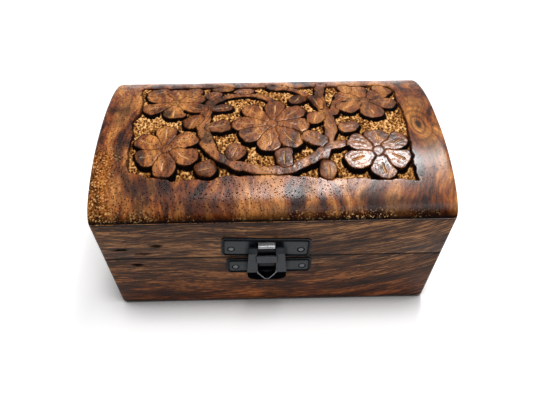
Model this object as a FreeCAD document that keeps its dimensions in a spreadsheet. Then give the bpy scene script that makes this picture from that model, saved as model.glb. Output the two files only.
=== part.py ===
"""Carved keepsake box: flared wooden case, domed lid with a sunk flower panel, sprung clasp and two hinges.

Millimetres, +Z up, origin at the middle of the underside, the clasp facing -Y.
"""
import FreeCAD, Part
import os
from types import SimpleNamespace

import Sketcher
from FreeCAD import Placement, Rotation, Vector

# Driving sizes: alias, millimetres or degrees, meaning
SIZES = (
    ("box_width", 152.0, "widest edge, where the dome meets the rails, left to right"),
    ("box_depth", 102.0, "the same edge, front to back"),
    ("seam_height", 33.5, "rim of the case"),
    ("rail_height", 22.5, "from the rim of the case to the dome's lower edge"),
    ("dome_rise", 17.0, "crown of the dome above its lower edge"),
    ("flare_angle", 5.1, "lean of all four walls, in degrees"),
    ("wall", 9.0, "board thickness at the foot"),
    ("bottom_thick", 6.0, "bottom panel"),
    ("foot_round", 2.2, "rounding of the lower outer edges"),
    ("corner_round", 1.5, "rounding of the upright corners"),
    ("dome_end_bevel", 1.1, "bevel of the dome's two end arches"),
    ("seam_gap", 0.25, "between the closed lid and the rim"),
    ("carve_depth", 2.6, "sunk ground of the carving below the dome"),
    ("panel_width", 120.5, "carved panel, left to right"),
    ("panel_back", 31.0, "panel's back edge behind the crown"),
    ("panel_front", 36.5, "panel's front edge before the crown"),
    ("corner_petals", 6, "petals of each corner flower"),
    ("corner_reach", 15.4, "corner flowers, centre to petal tip"),
    ("corner_hub", 8.4, "radius of a corner flower's middle"),
    ("middle_petals", 8, "petals of the middle flower"),
    ("middle_reach", 18.4, "middle flower, centre to petal tip"),
    ("middle_hub", 11.0, "radius of the middle flower's middle"),
    ("petal_length", 11.8, "petals, their roots in the hub included"),
    ("petal_width", 9.0, "petals"),
    ("leaf_length", 11.2, "leaves"),
    ("leaf_width", 8.6, "leaves"),
    ("vine_width", 3.4, "vines"),
    ("nail_head_radius", 1.6, "nails of clasp and hinges"),
    ("nail_head_height", 0.45, "head above its seat"),
    ("nail_shank_radius", 0.65, "shank"),
    ("nail_length", 6.5, "shank in the wood"),
    ("nail_play", 0.04, "radial clearance of a nail in wood and metal"),
    ("nail_seat", 0.4, "depth of the sunk seat in the plates"),
    ("cut_over", 1.0, "how far a drill or cutter runs past the surface"),
    ("clasp_metal", 0.8, "sheet of the clasp"),
    ("clasp_shift", -3.0, "clasp beside the middle of the front"),
    ("plate_gap", 1.0, "from the rim line to each plate"),
    ("plate_corner", 1.8, "corner radius of both plates"),
    ("plate_bevel", 0.35, "bevel along the plates' edges"),
    ("hook_plate_width", 38.5, "upper plate"),
    ("hook_plate_height", 11.6, "upper plate"),
    ("hook_tilt", 2.4, "upper plate, nailed on askew, in degrees"),
    ("hook_nail_spacing", 30.0, "upper nails, centre to centre"),
    ("hook_nail_rise", 4.8, "upper nails above the plate's lower edge"),
    ("base_plate_width", 37.6, "lower plate"),
    ("base_plate_height", 9.5, "lower plate"),
    ("base_shift", 1.0, "lower plate beside the middle of the clasp"),
    ("base_nail_spacing", 29.4, "lower nails, centre to centre"),
    ("base_nail_drop", 5.2, "lower nails below the plate's upper edge"),
    ("tongue_width", 7.2, "hook tongue"),
    ("tongue_drop", 1.6, "tongue's upper face below the upper plate's top edge"),
    ("tongue_length", 12.4, "tongue's upper face to its tip"),
    ("tongue_bend", 1.6, "outer radius of the tongue's bend"),
    ("relief_width", 0.7, "slots beside the tongue's root"),
    ("relief_height", 2.4, "slots beside the tongue's root"),
    ("nose_depth", 0.5, "catch nose proud of the tongue"),
    ("nose_height", 3.2, "ramp of the catch nose"),
    ("catch_gap", 0.15, "nose to strap at rest"),
    ("strap_height", 4.8, "lever's raised strap"),
    ("strap_rise", 2.4, "strap's lower edge above the rim line"),
    ("strap_lap", 0.4, "strap onto each side of the slot"),
    ("slot_play", 0.4, "tongue to the lever's slot, each side"),
    ("slot_drop", 9.2, "V at the slot's end, below the rim line"),
    ("slot_point", 4.4, "height of the slot's V"),
    ("slot_tip_width", 1.6, "blunt end of the V"),
    ("lever_top", 9.9, "lever's upper edge above the rim line"),
    ("lever_bottom", 12.5, "lever's lip below the rim line"),
    ("lever_top_width", 15.0, "lever"),
    ("lever_bottom_width", 17.6, "lever"),
    ("strap_seat", 0.25, "strap let into the lever's face"),
    ("lever_lean", 1.5, "how far the lever's upper edge turns in"),
    ("lever_lean_height", 1.9, "height of that turned edge"),
    ("lip_height", 4.7, "height of the curled lip"),
    ("lip_lean", 1.8, "how far the lip turns in"),
    ("lip_corner", 4.4, "lower corners of the lever"),
    ("lever_bend", 3.0, "inner radius of the lip's bend"),
    ("flange_depth", 1.6, "lever's side flanges behind its face"),
    ("pivot_drop", 7.5, "pivot below the rim line"),
    ("pivot_radius", 0.6, "pivot pin"),
    ("pivot_head_radius", 1.0, "peened ends of the pivot pin"),
    ("pivot_head", 0.3, "thickness of the peened ends"),
    ("pivot_play", 0.04, "radial clearance on the pivot pin"),
    ("lug_radius", 1.0, "lever's lugs round the pin"),
    ("lug_play", 0.15, "lugs to the lower plate"),
    ("ear_radius", 1.2, "lower plate's ears round the pin"),
    ("ear_clear", 1.3, "tongue to each ear"),
    ("side_play", 0.25, "side gap between ears, lugs and pin heads"),
    ("spring_metal", 0.25, "hairpin spring strip"),
    ("spring_leg", 2.8, "spring's legs below the pivot"),
    ("spring_splay", 6.0, "lean of the leg that meets the lever, in degrees"),
    ("tongue_clear", 0.65, "spring to tongue"),
    ("hinge_inset", 32.0, "middle of each hinge from the end of the box"),
    ("hinge_length", 22.0, "hinge along the seam"),
    ("hinge_leaf", 9.0, "leaf from the rim line to its outer edge"),
    ("hinge_metal", 0.8, "sheet of the hinges"),
    ("hinge_corner", 1.6, "outer corners of the leaves"),
    ("hinge_nail_spacing", 13.0, "nails of one leaf"),
    ("hinge_nail_rise", 5.7, "nails from the rim line"),
    ("knuckle_radius", 1.7, "rolled knuckles"),
    ("knuckle_middle", 8.0, "length of the middle knuckle"),
    ("knuckle_gap", 0.25, "between knuckles, and round them"),
    ("hinge_stand", 0.15, "knuckles to the wood"),
    ("hinge_pin_radius", 0.85, "hinge pin"),
    ("hinge_pin_head", 0.5, "thickness of the pin's heads"),
    ("hinge_pin_head_radius", 1.25, "heads of the hinge pin"),
    ("hinge_pin_play", 0.04, "radial clearance of the hinge pin"),
)

# Carving, seen from above: meanings of the columns in the tables of flowers, leaves and vines
PLACES = {
    "x": "centre, to the right of the middle",
    "y": "centre, behind the crown",
    "turn": "direction of the first petal, the leaf or the arc's start, in degrees from the right",
    "radius": "centre line of the arc",
    "sweep": "length of the arc, in degrees",
}
CORNER_FLOWERS = {
    "left_flower": (-45.5, -20.0, 90),
    "right_flower": (45.5, -23.5, 90),
    "back_left_flower": (-44.0, 14.5, 88),
    "back_right_flower": (44.0, 13.5, 100),
}
MIDDLE_FLOWER = {"middle_flower": (0.5, -4.5, 85)}
LEAVES = {f"leaf_{number}": place for number, place in enumerate((
    (-35.5, -2.3, 50), (-23.2, -6.5, 12), (-21.9, 8.5, 10), (-15.4, -22.4, 40), (-28.2, -31.0, 28),
    (5.6, -26.3, 95), (23.5, -32.8, 97), (19.0, -15.5, -32), (20.2, 0.0, 40), (33.6, -8.0, 8),
    (13.0, 15.8, 30), (-26.6, 21.5, 60), (30.5, 25.5, 55), (-11.5, 26.0, 12), (4.5, 30.5, 0)), 1)}
VINES = {f"vine_{number}": place for number, place in enumerate((
    (-1.0, 0.0, 211, 33.0, 107), (40.5, -55.0, 91, 37.5, 31), (20.0, -2.0, 156, 49.8, 46),
    (-12.5, 6.0, 30, 15.5, 115), (-22.0, -4.0, -26, 48.8, 35), (60.0, -8.0, 125, 34.8, 38),
    (-25.0, -10.0, 12, 52.5, 37), (60.0, -10.0, 127, 45.0, 25)), 1)}

doc = FreeCAD.newDocument("carved_box")
sheet = doc.addObject("Spreadsheet::Sheet", "Sizes")
rows = list(SIZES)
for name, numbers in (CORNER_FLOWERS | MIDDLE_FLOWER | LEAVES | VINES).items():
    rows += [(f"{name}_{column}", number, PLACES[column]) for column, number in zip(PLACES, numbers)]
for row, (alias, size, meaning) in enumerate(rows, 1):
    sheet.set(f"A{row}", alias)
    sheet.set(f"B{row}", str(size))
    sheet.setAlias(f"B{row}", alias)
    sheet.set(f"C{row}", meaning)
doc.recompute()
s = SimpleNamespace(**{alias: f"Sizes.{alias}" for alias, _, _ in rows})
pieces = {}

# Case: heights and half widths as expressions
SLOPE = f"tan({s.flare_angle} * 1 deg)"
EDGE = f"({s.seam_height} + {s.rail_height})"
LID_FOOT = f"({s.seam_height} + {s.seam_gap})"


def half(span, height):
    """Half the outer width of the flared walls at a height."""
    return f"({span} / 2 - ({EDGE} - {height}) * {SLOPE})"


WELL_X = f"({half(s.box_width, '0')} - {s.wall})"
WELL_Y = f"({half(s.box_depth, '0')} - {s.wall})"

# Clasp: distances out from the wood, and heights above or below the rim line
PIVOT_OUT = f"({s.clasp_metal} + {s.lug_play} + {s.lug_radius})"
SPRING_INNER = f"({s.pivot_radius} + {s.pivot_play})"
SPRING_OUTER = f"({SPRING_INNER} + {s.spring_metal})"
TONGUE_IN = f"({PIVOT_OUT} + {SPRING_OUTER} + {s.tongue_clear})"
TONGUE_OUT = f"({TONGUE_IN} + {s.clasp_metal})"
STRAP_IN = f"({TONGUE_OUT} + {s.nose_depth} + {s.catch_gap})"
LEVER_OUT = f"({STRAP_IN} + {s.strap_seat})"
LEVER_IN = f"({LEVER_OUT} - {s.clasp_metal})"
HOOK_TOP = f"({s.plate_gap} + {s.hook_plate_height})"
TONGUE_TOP = f"({HOOK_TOP} - {s.tongue_drop})"
TONGUE_TIP = f"({TONGUE_TOP} - {s.tongue_length})"
NOSE_TOP = f"({s.strap_rise} - {s.catch_gap})"
SLOT_HALF = f"({s.tongue_width} / 2 + {s.slot_play})"
SLOT_TIP = f"(-{s.slot_drop})"
EAR_X = f"({s.tongue_width} / 2 + {s.ear_clear})"
LUG_X = f"({EAR_X} + {s.clasp_metal} + {s.side_play})"
PIVOT_END = f"({LUG_X} + {s.clasp_metal} + {s.side_play})"

# Hinges
HINGE_OUT = f"({s.knuckle_radius} + {s.hinge_stand})"
LEAF_EDGE = f"({s.knuckle_radius} + {s.knuckle_gap})"

# Frames that lie on the leaning front and back: outward is local -Y, up the wall is local +Z
CLASP = (f"placement(vector({s.clasp_shift}; -{half(s.box_depth, s.seam_height)}; {s.seam_height});"
         f" rotation(0; 0; {s.flare_angle}))")
HINGES = {
    side: (f"placement(vector({sign} * ({s.box_width} / 2 - {s.hinge_inset});"
           f" {half(s.box_depth, s.seam_height)}; {s.seam_height}); rotation(180; 0; {s.flare_angle}))")
    for side, sign in (("left", -1), ("right", 1))
}
ALONG = {
    "x": Rotation(Vector(0, 1, 0), 90),
    "y": Rotation(Vector(1, 0, 0), -90),
}


def value(expression):
    return float(sheet.evalExpression(expression))


def keep(piece, label, frame=None):
    """Name a finished sub-part and put it in its frame."""
    piece.Label = label
    if frame:
        piece.setExpression("Placement", frame)
    pieces[label] = piece
    return piece


def block(name, x, y, z):
    """A box between low and high expressions on each axis."""
    solid = doc.addObject("Part::Box", name)
    for size, axis, (low, high) in (("Length", "x", x), ("Width", "y", y), ("Height", "z", z)):
        solid.setExpression(size, f"({high}) - ({low})")
        solid.setExpression(f"Placement.Base.{axis}", low)
    return solid


def rod(name, axis, radius, low, high, centre, sides=None):
    """A cylinder along x or y, or a prism with a number of sides."""
    solid = doc.addObject("Part::Prism" if sides else "Part::Cylinder", name)
    solid.Placement = Placement(Vector(), ALONG[axis])
    if sides:
        solid.Polygon = sides
    solid.setExpression("Circumradius" if sides else "Radius", radius)
    solid.setExpression("Height", f"({high}) - ({low})")
    solid.setExpression(f"Placement.Base.{axis}", low)
    for other, place in centre.items():
        solid.setExpression(f"Placement.Base.{other}", place)
    return solid


def fuse(name, solids):
    union = doc.addObject("Part::MultiFuse", name)
    union.Shapes = solids
    union.Refine = True
    return union


def cut(name, base, tool):
    difference = doc.addObject("Part::Cut", name)
    difference.Base = base
    difference.Tool = tool
    return difference


def common(name, base, tool):
    overlap = doc.addObject("Part::Common", name)
    overlap.Base = base
    overlap.Tool = tool
    return overlap


def group(name, solids, frame=None):
    several = doc.addObject("Part::Compound", name)
    several.Links = solids
    if frame:
        several.setExpression("Placement", frame)
    return several


def rounded(name, base, radius, chosen, kind="Fillet"):
    """Fillet or chamfer the edges that the test picks."""
    doc.recompute()
    soft = doc.addObject(f"Part::{kind}", name)
    soft.Base = base
    soft.Edges = [(number, value(radius), value(radius))
                  for number, edge in enumerate(base.Shape.Edges, 1) if chosen(edge)]
    return soft


def sketch(body, name, role, loops):
    """Closed polygons on one of the body's own planes, their corners given as pairs of expressions."""
    drawing = body.newObject("Sketcher::SketchObject", name)
    drawing.AttachmentSupport = [(next(f for f in body.Origin.OriginFeatures if f.Role == role), "")]
    drawing.MapMode = "FlatFace"
    for corners in loops:
        first = drawing.GeometryCount
        spots = [Vector(value(x), value(y), 0) for x, y in corners]
        for spot, following in zip(spots, spots[1:] + spots[:1]):
            drawing.addGeometry(Part.LineSegment(spot, following))
        for index, (corner, spot) in enumerate(zip(corners, spots)):
            line = first + index
            before = first + (index - 1) % len(corners)
            drawing.addConstraint(Sketcher.Constraint("Coincident", before, 2, line, 1))
            for kind, expression, number in zip(("DistanceX", "DistanceY"), corner, (spot.x, spot.y)):
                constraint = drawing.addConstraint(Sketcher.Constraint(kind, -1, 1, line, 1, number))
                drawing.setExpression(f"Constraints[{constraint}]", expression)
    return drawing


def pad(body, profile, length, side="One side"):
    feature = body.newObject("PartDesign::Pad", f"{profile.Name}_pad")
    feature.Profile = profile
    feature.setExpression("Length", length)
    feature.SideType = side
    return feature


def pocket(body, profile):
    """Cut a profile right through, both ways."""
    feature = body.newObject("PartDesign::Pocket", f"{profile.Name}_pocket")
    feature.Profile = profile
    feature.Type = "ThroughAll"
    feature.SideType = "Symmetric"
    return feature


def soften(body, kind, name, size, chosen):
    """Fillet or chamfer the picked edges of the body so far."""
    doc.recompute()
    base = body.Tip
    feature = body.newObject(f"PartDesign::{kind}", name)
    edges = [f"Edge{number}" for number, edge in enumerate(base.Shape.Edges, 1) if chosen(edge)]
    feature.Base = (base, edges)
    feature.setExpression("Radius" if kind == "Fillet" else "Size", size)
    return feature


def runs_along(edge, axis):
    """True for a straight edge along an axis."""
    if edge.Curve.TypeId != "Part::GeomLine":
        return False
    return abs(getattr(edge.Curve.Direction, axis)) > 0.999


def lies_at(edge, **places):
    """True where the middle of an edge has the given coordinates."""
    middle = edge.CenterOfMass
    return all(abs(getattr(middle, axis) - place) < 0.01 for axis, place in places.items())


def flared(name, low, high):
    """A block between two heights whose four sides lean with the walls."""
    solid = doc.addObject("Part::Wedge", name)
    solid.Placement = Placement(Vector(), Rotation(Vector(1, 0, 0), 90))
    solid.setExpression("Ymin", low)
    solid.setExpression("Ymax", high)
    for across, span in (("X", s.box_width), ("Z", s.box_depth)):
        for end, height in (("", low), ("2", high)):
            solid.setExpression(f"{across}{end}min", f"-{half(span, height)}")
            solid.setExpression(f"{across}{end}max", half(span, height))
    return solid


def upright(edge):
    return len(edge.Vertexes) == 2 and abs(edge.Vertexes[0].Z - edge.Vertexes[1].Z) > 1


# Nails repeat, so they and their holes are prisms with few sides
HEAD_SIDES = 16
SHANK_SIDES = 8


def nail_spots(spacing, height):
    return [(f"{sign} * {spacing} / 2", height) for sign in (-1, 1)]


def pilot_holes(name, spots, frame):
    radius = f"{s.nail_shank_radius} + {s.nail_play}"
    depth = f"{s.nail_length} + {s.nail_play}"
    return group(name, [rod(f"{name}_{number}", "y", radius, f"-{s.cut_over}", depth, {"x": x, "z": z},
                            SHANK_SIDES) for number, (x, z) in enumerate(spots)], frame)


def nail_seats(name, spots, metal):
    """Sunk seats and holes for the nails in a plate."""
    tools = []
    for number, (x, z) in enumerate(spots):
        spot = {"x": x, "z": z}
        tools.append(rod(f"{name}_seat_{number}", "y", f"{s.nail_head_radius} + {s.nail_play} * 2",
                         f"-{metal} - {s.cut_over}", f"-{metal} + {s.nail_seat}", spot, HEAD_SIDES))
        tools.append(rod(f"{name}_hole_{number}", "y", f"{s.nail_shank_radius} + {s.nail_play}",
                         f"-{metal} - {s.cut_over}", s.cut_over, spot, SHANK_SIDES))
    return fuse(name, tools)


def nails(label, spots, metal, frame):
    """Nails with a low head on its seat."""
    seat = f"-{metal} + {s.nail_seat}"
    driven = []
    for number, (x, z) in enumerate(spots):
        spot = {"x": x, "z": z}
        name = f"{label}_{number}"
        head = rod(f"{name}_head", "y", s.nail_head_radius, f"{seat} - {s.nail_head_height}", seat, spot,
                   HEAD_SIDES)
        shank = rod(f"{name}_shank", "y", s.nail_shank_radius, seat, s.nail_length, spot, SHANK_SIDES)
        driven.append(fuse(name, [head, shank]))
    keep(group(f"{label}_group", driven), label, frame)


def askew(spots):
    """Points of the upper plate, turned with it about the tongue's root."""
    cosine, sine = (f"{turn}({s.hook_tilt} * 1 deg)" for turn in ("cos", "sin"))
    return [(f"({x}) * {cosine} + ({z} - {TONGUE_TOP}) * {sine}",
             f"{TONGUE_TOP} + ({z} - {TONGUE_TOP}) * {cosine} - ({x}) * {sine}") for x, z in spots]


def shifted(spots):
    """Points of the lower plate, moved with it beside the clasp's middle."""
    return [(f"{x} + {s.base_shift}", z) for x, z in spots]


HOOK_NAILS = askew(nail_spots(s.hook_nail_spacing, f"({s.plate_gap} + {s.hook_nail_rise})"))
BASE_NAILS = shifted(nail_spots(s.base_nail_spacing, f"-{s.plate_gap} - {s.base_nail_drop}"))
LID_LEAF_NAILS = nail_spots(s.hinge_nail_spacing, s.hinge_nail_rise)
BODY_LEAF_NAILS = nail_spots(s.hinge_nail_spacing, f"-{s.hinge_nail_rise}")


def boards(prefix, names, envelope, low, high, front_holes, back_holes):
    """Four boards cut to the flared envelope: front and back run through, the ends butt between them."""
    reach_x = f"{s.box_width} / 2"
    reach_y = f"{s.box_depth} / 2"
    blanks = {
        "front": ((f"-{reach_x}", reach_x), (f"-{reach_y}", f"-{WELL_Y}")),
        "back": ((f"-{reach_x}", reach_x), (WELL_Y, reach_y)),
        "left": ((f"-{reach_x}", f"-{WELL_X}"), (f"-{WELL_Y}", WELL_Y)),
        "right": ((WELL_X, reach_x), (f"-{WELL_Y}", WELL_Y)),
    }
    for side, (x, y) in blanks.items():
        blank = block(f"{prefix}_{side}_blank", x, y, (low, high))
        board = common(f"{prefix}_{side}_planed", envelope, blank)
        holes = {"front": front_holes, "back": back_holes}.get(side)
        if holes:
            board = cut(f"{prefix}_{side}_drilled", board, holes)
        keep(board, f"{prefix}_{side}_{names}")


# Case and lid frame
case_block = rounded("case_corners", flared("case_block", "0", s.seam_height), s.corner_round, upright)
case_block = rounded("case_envelope", case_block, s.foot_round, lambda edge: lies_at(edge, z=0))
hinge_case_holes = group("hinge_case_holes", [
    pilot_holes(f"{side}_case_holes", BODY_LEAF_NAILS, frame) for side, frame in HINGES.items()])
boards("body", "board", case_block, "0", s.seam_height,
       pilot_holes("base_plate_holes", BASE_NAILS, CLASP), hinge_case_holes)
keep(block("bottom_blank", (f"-{WELL_X}", WELL_X), (f"-{WELL_Y}", WELL_Y), ("0", s.bottom_thick)),
     "bottom_panel")

lid_block = rounded("lid_envelope", flared("lid_block", LID_FOOT, EDGE), s.corner_round, upright)
hinge_lid_holes = group("hinge_lid_holes", [
    pilot_holes(f"{side}_lid_holes", LID_LEAF_NAILS, frame) for side, frame in HINGES.items()])
boards("lid", "rail", lid_block, LID_FOOT, EDGE,
       pilot_holes("hook_plate_holes", HOOK_NAILS, CLASP), hinge_lid_holes)

# Dome: an elliptic arch, front to back
CROWN = f"({EDGE} + {s.dome_rise})"
CUT_LOW = f"({EDGE} - {s.cut_over})"
CUT_HIGH = f"({CROWN} + {s.cut_over} * 2)"
OVAL_SIDES = 10


def extruded(name, outline, along, length):
    bar = doc.addObject("Part::Extrusion", name)
    bar.Base = outline
    bar.DirMode = "Custom"
    bar.Dir = along
    bar.setExpression("LengthFwd", length)
    bar.Solid = True
    return bar


def barrel(name, drop):
    """An elliptic bar with the dome's arch, lowered by a drop."""
    arch = doc.addObject("Part::Ellipse", f"{name}_arch")
    arch.setExpression("MajorRadius", f"{s.box_depth} / 2")
    arch.setExpression("MinorRadius", s.dome_rise)
    arch.Placement = Placement(Vector(), Rotation(Vector(1, 1, 1), 120))
    arch.setExpression("Placement.Base.x", f"-{s.box_width} / 2")
    arch.setExpression("Placement.Base.z", f"{EDGE} - {drop}")
    return extruded(name, arch, Vector(1, 0, 0), s.box_width)


def oval(name, length, width, middle):
    """An upright many-sided prism, its centre a distance along x from its own origin."""
    body = doc.addObject("PartDesign::Body", name)
    step = 360 / OVAL_SIDES
    turns = [step * (number + 0.5) for number in range(OVAL_SIDES)]
    corners = [(f"{middle} + {length} / 2 * cos({turn} deg)", f"{width} / 2 * sin({turn} deg)")
               for turn in turns]
    pad(body, sketch(body, f"{name}_outline", "XY_Plane", [corners]), f"{CUT_HIGH} - {CUT_LOW}")
    return body


def drum(name, radius, sweep="360"):
    """An upright cylinder, or a slice of one, that starts along x."""
    solid = doc.addObject("Part::Cylinder", name)
    solid.setExpression("Radius", radius)
    solid.setExpression("Height", f"{CUT_HIGH} - {CUT_LOW}")
    solid.setExpression("Angle", sweep)
    return solid


def placed(name, solid, turned=0):
    """A copy through the dome at a named place on the panel, turned further by some degrees."""
    return group(f"{name}_placed_{turned}", [solid], (
        f"placement(vector(Sizes.{name}_x; Sizes.{name}_y; {CUT_LOW});"
        f" rotation(Sizes.{name}_turn + {turned}; 0; 0))"))


def flower(name, reach, hub, count):
    """A round middle and a ring of like petals."""
    petal = oval(f"{name}_petal", s.petal_length, s.petal_width, f"({reach} - {s.petal_length} / 2)")
    number = int(value(count))
    ring = [placed(name, petal, 360 // number * turn) for turn in range(number)]
    return ring + [placed(name, drum(f"{name}_hub", hub), 1)]


def vine(name):
    """A curved strip: an arc of a ring."""
    radius = f"Sizes.{name}_radius"
    pie = drum(f"{name}_outside", f"{radius} + {s.vine_width} / 2", f"Sizes.{name}_sweep")
    return placed(name, cut(f"{name}_strip", pie, drum(f"{name}_inside", f"{radius} - {s.vine_width} / 2")))


across = (f"-{s.box_width} / 2", f"{s.box_width} / 2")
dome = common("dome_block", barrel("dome_barrel", "0"), block(
    "dome_blank", across, (f"-{s.box_depth} / 2", f"{s.box_depth} / 2"), (EDGE, f"{CROWN} + {s.cut_over}")))
dome = rounded("dome_slab", dome, s.dome_end_bevel, lambda edge: edge.Curve.TypeId == "Part::GeomEllipse",
               "Chamfer")

# Carving: between flowers, leaves and vines the ground is sunk below the arch
leaf_shape = oval("carved_leaf", s.leaf_length, s.leaf_width, "0")
relief = flower("middle_flower", s.middle_reach, s.middle_hub, s.middle_petals)
for name in CORNER_FLOWERS:
    relief += flower(name, s.corner_reach, s.corner_hub, s.corner_petals)
relief += [placed(name, leaf_shape) for name in LEAVES]
relief += [vine(name) for name in VINES]
panel = block("carved_panel", (f"-{s.panel_width} / 2", f"{s.panel_width} / 2"),
              (f"-{s.panel_front}", s.panel_back), (EDGE, f"{CROWN} + {s.cut_over}"))
ground = cut("panel_ground", panel, fuse("carved_relief", relief))
ground = cut("sunk_ground", ground, barrel("ground_barrel", s.carve_depth))
keep(cut("dome_carved", dome, ground), "lid_dome_top")


def corners(width, low, high):
    side = f"{width} / 2"
    return [(f"-{side}", low), (side, low), (side, high), (f"-{side}", high)]


def plate(name, outline):
    """A flat plate with round corners and a bevelled rim, on the wood."""
    body = doc.addObject("PartDesign::Body", name)
    pad(body, sketch(body, f"{name}_outline", "XZ_Plane", [outline]), s.clasp_metal)
    soften(body, "Fillet", f"{name}_corners", s.plate_corner, lambda edge: runs_along(edge, "y"))
    soften(body, "Chamfer", f"{name}_bevel", s.plate_bevel,
           lambda edge: lies_at(edge, y=-value(s.clasp_metal)))
    return body


# Upper plate, on the lid: a tongue bends out and down through the lever's slot
hook = plate("hook_plate", askew(corners(s.hook_plate_width, s.plate_gap, HOOK_TOP)))
root_half = f"{s.tongue_width} / 2"
pocket(hook, sketch(hook, "tongue_reliefs", "XZ_Plane", [
    [(f"{sign} * {root_half}", f"{TONGUE_TOP} - {s.relief_height}"),
     (f"{sign} * ({root_half} + {s.relief_width})", f"{TONGUE_TOP} - {s.relief_height}"),
     (f"{sign} * ({root_half} + {s.relief_width})", TONGUE_TOP),
     (f"{sign} * {root_half}", TONGUE_TOP)] for sign in (-1, 1)]))
tongue_root = f"-{s.clasp_metal} / 2"
tongue_under = f"{TONGUE_TOP} - {s.clasp_metal}"
pad(hook, sketch(hook, "tongue", "YZ_Plane", [
    [(tongue_root, TONGUE_TOP), (f"-{TONGUE_OUT}", TONGUE_TOP), (f"-{TONGUE_OUT}", NOSE_TOP),
     (f"-{TONGUE_OUT} - {s.nose_depth}", NOSE_TOP), (f"-{TONGUE_OUT}", f"{NOSE_TOP} - {s.nose_height}"),
     (f"-{TONGUE_OUT}", TONGUE_TIP), (f"-{TONGUE_IN}", TONGUE_TIP), (f"-{TONGUE_IN}", tongue_under),
     (tongue_root, tongue_under)]]), s.tongue_width, "Symmetric")
soften(hook, "Fillet", "tongue_bend_outside", s.tongue_bend,
       lambda edge: runs_along(edge, "x") and lies_at(edge, y=-value(TONGUE_OUT), z=value(TONGUE_TOP)))
keep(cut("hook_plate_seated", hook, nail_seats("hook_seats", HOOK_NAILS, s.clasp_metal)),
     "clasp_hook_plate", CLASP)
nails("clasp_hook_nails", HOOK_NAILS, s.clasp_metal, CLASP)

# Lower plate, on the case: two ears carry the pivot pin
PIVOT_LINE = {"y": f"-{PIVOT_OUT}", "z": f"-{s.pivot_drop}"}
BORE_END = f"({PIVOT_END} + {s.cut_over})"
BORE = rod("pivot_bore", "x", f"{s.pivot_radius} + {s.pivot_play}", f"-{BORE_END}", BORE_END, PIVOT_LINE)


def pivot_tabs(name, inner, radius, reach_from, reach_to):
    """A pair of tabs with round ends about the pivot, standing on the sheet between two distances."""
    solids = []
    for side, sign in (("left", -1), ("right", 1)):
        ends = (inner, f"{inner} + {s.clasp_metal}")
        if sign < 0:
            ends = (f"-({ends[1]})", f"-{inner}")
        solids.append(rod(f"{side}_{name}_eye", "x", radius, *ends, PIVOT_LINE))
        solids.append(block(f"{side}_{name}_tab", ends, (f"-{reach_to}", f"-{reach_from}"),
                            (f"-{s.pivot_drop} - {radius}", f"-{s.pivot_drop} + {radius}")))
    return solids


base = plate("base_plate", shifted(corners(
    s.base_plate_width, f"-{s.plate_gap} - {s.base_plate_height}", f"-{s.plate_gap}")))
ears = pivot_tabs("ear", EAR_X, s.ear_radius, f"{s.clasp_metal} / 2", PIVOT_OUT)
base = cut("base_plate_bored", fuse("base_plate_eared", [base] + ears), BORE)
keep(cut("base_plate_seated", base, nail_seats("base_seats", BASE_NAILS, s.clasp_metal)),
     "clasp_base_plate", CLASP)
nails("clasp_base_nails", BASE_NAILS, s.clasp_metal, CLASP)

pin_end = f"({PIVOT_END} + {s.pivot_head})"
keep(fuse("pivot_pin_whole", [
    rod("pivot_shaft", "x", s.pivot_radius, f"-{PIVOT_END}", PIVOT_END, PIVOT_LINE),
    rod("pivot_left_head", "x", s.pivot_head_radius, f"-{pin_end}", f"-{PIVOT_END}", PIVOT_LINE),
    rod("pivot_right_head", "x", s.pivot_head_radius, PIVOT_END, pin_end, PIVOT_LINE),
]), "clasp_pivot_pin", CLASP)


# Hairpin spring: a crook over the pin, one leg along the lower plate and one splayed against the lever
spring_across = f"({EAR_X} - {s.side_play})"


def spring_block(name, y, reach):
    """Hangs down from the pivot line, which is its own origin."""
    return block(name, (f"-{spring_across}", spring_across), y, (f"-{reach}", "0"))


def crook(name, radius):
    return rod(name, "x", radius, f"-{spring_across}", spring_across, {"y": "0", "z": "0"})


open_crook = cut("spring_crook", cut("spring_ring", crook("spring_ring_outside", SPRING_OUTER),
                                     crook("spring_ring_inside", SPRING_INNER)),
                 spring_block("spring_mouth", (f"-{SPRING_INNER}", SPRING_INNER), f"{SPRING_OUTER} * 2"))
lever_leg = group("spring_lever_leg", [
    spring_block("spring_lever_strip", (f"-{SPRING_OUTER}", f"-{SPRING_INNER}"), s.spring_leg)],
    f"placement(vector(0; 0; 0); rotation(0; 0; -{s.spring_splay}))")
plate_leg = spring_block("spring_plate_leg", (SPRING_INNER, SPRING_OUTER), s.spring_leg)
spring = group("spring_at_pivot", [fuse("spring_strip", [open_crook, lever_leg, plate_leg])],
               f"placement(vector(0; -{PIVOT_OUT}; -{s.pivot_drop}); rotation(0; 0; 0))")
keep(group("spring_group", [spring]), "clasp_spring", CLASP)

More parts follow.
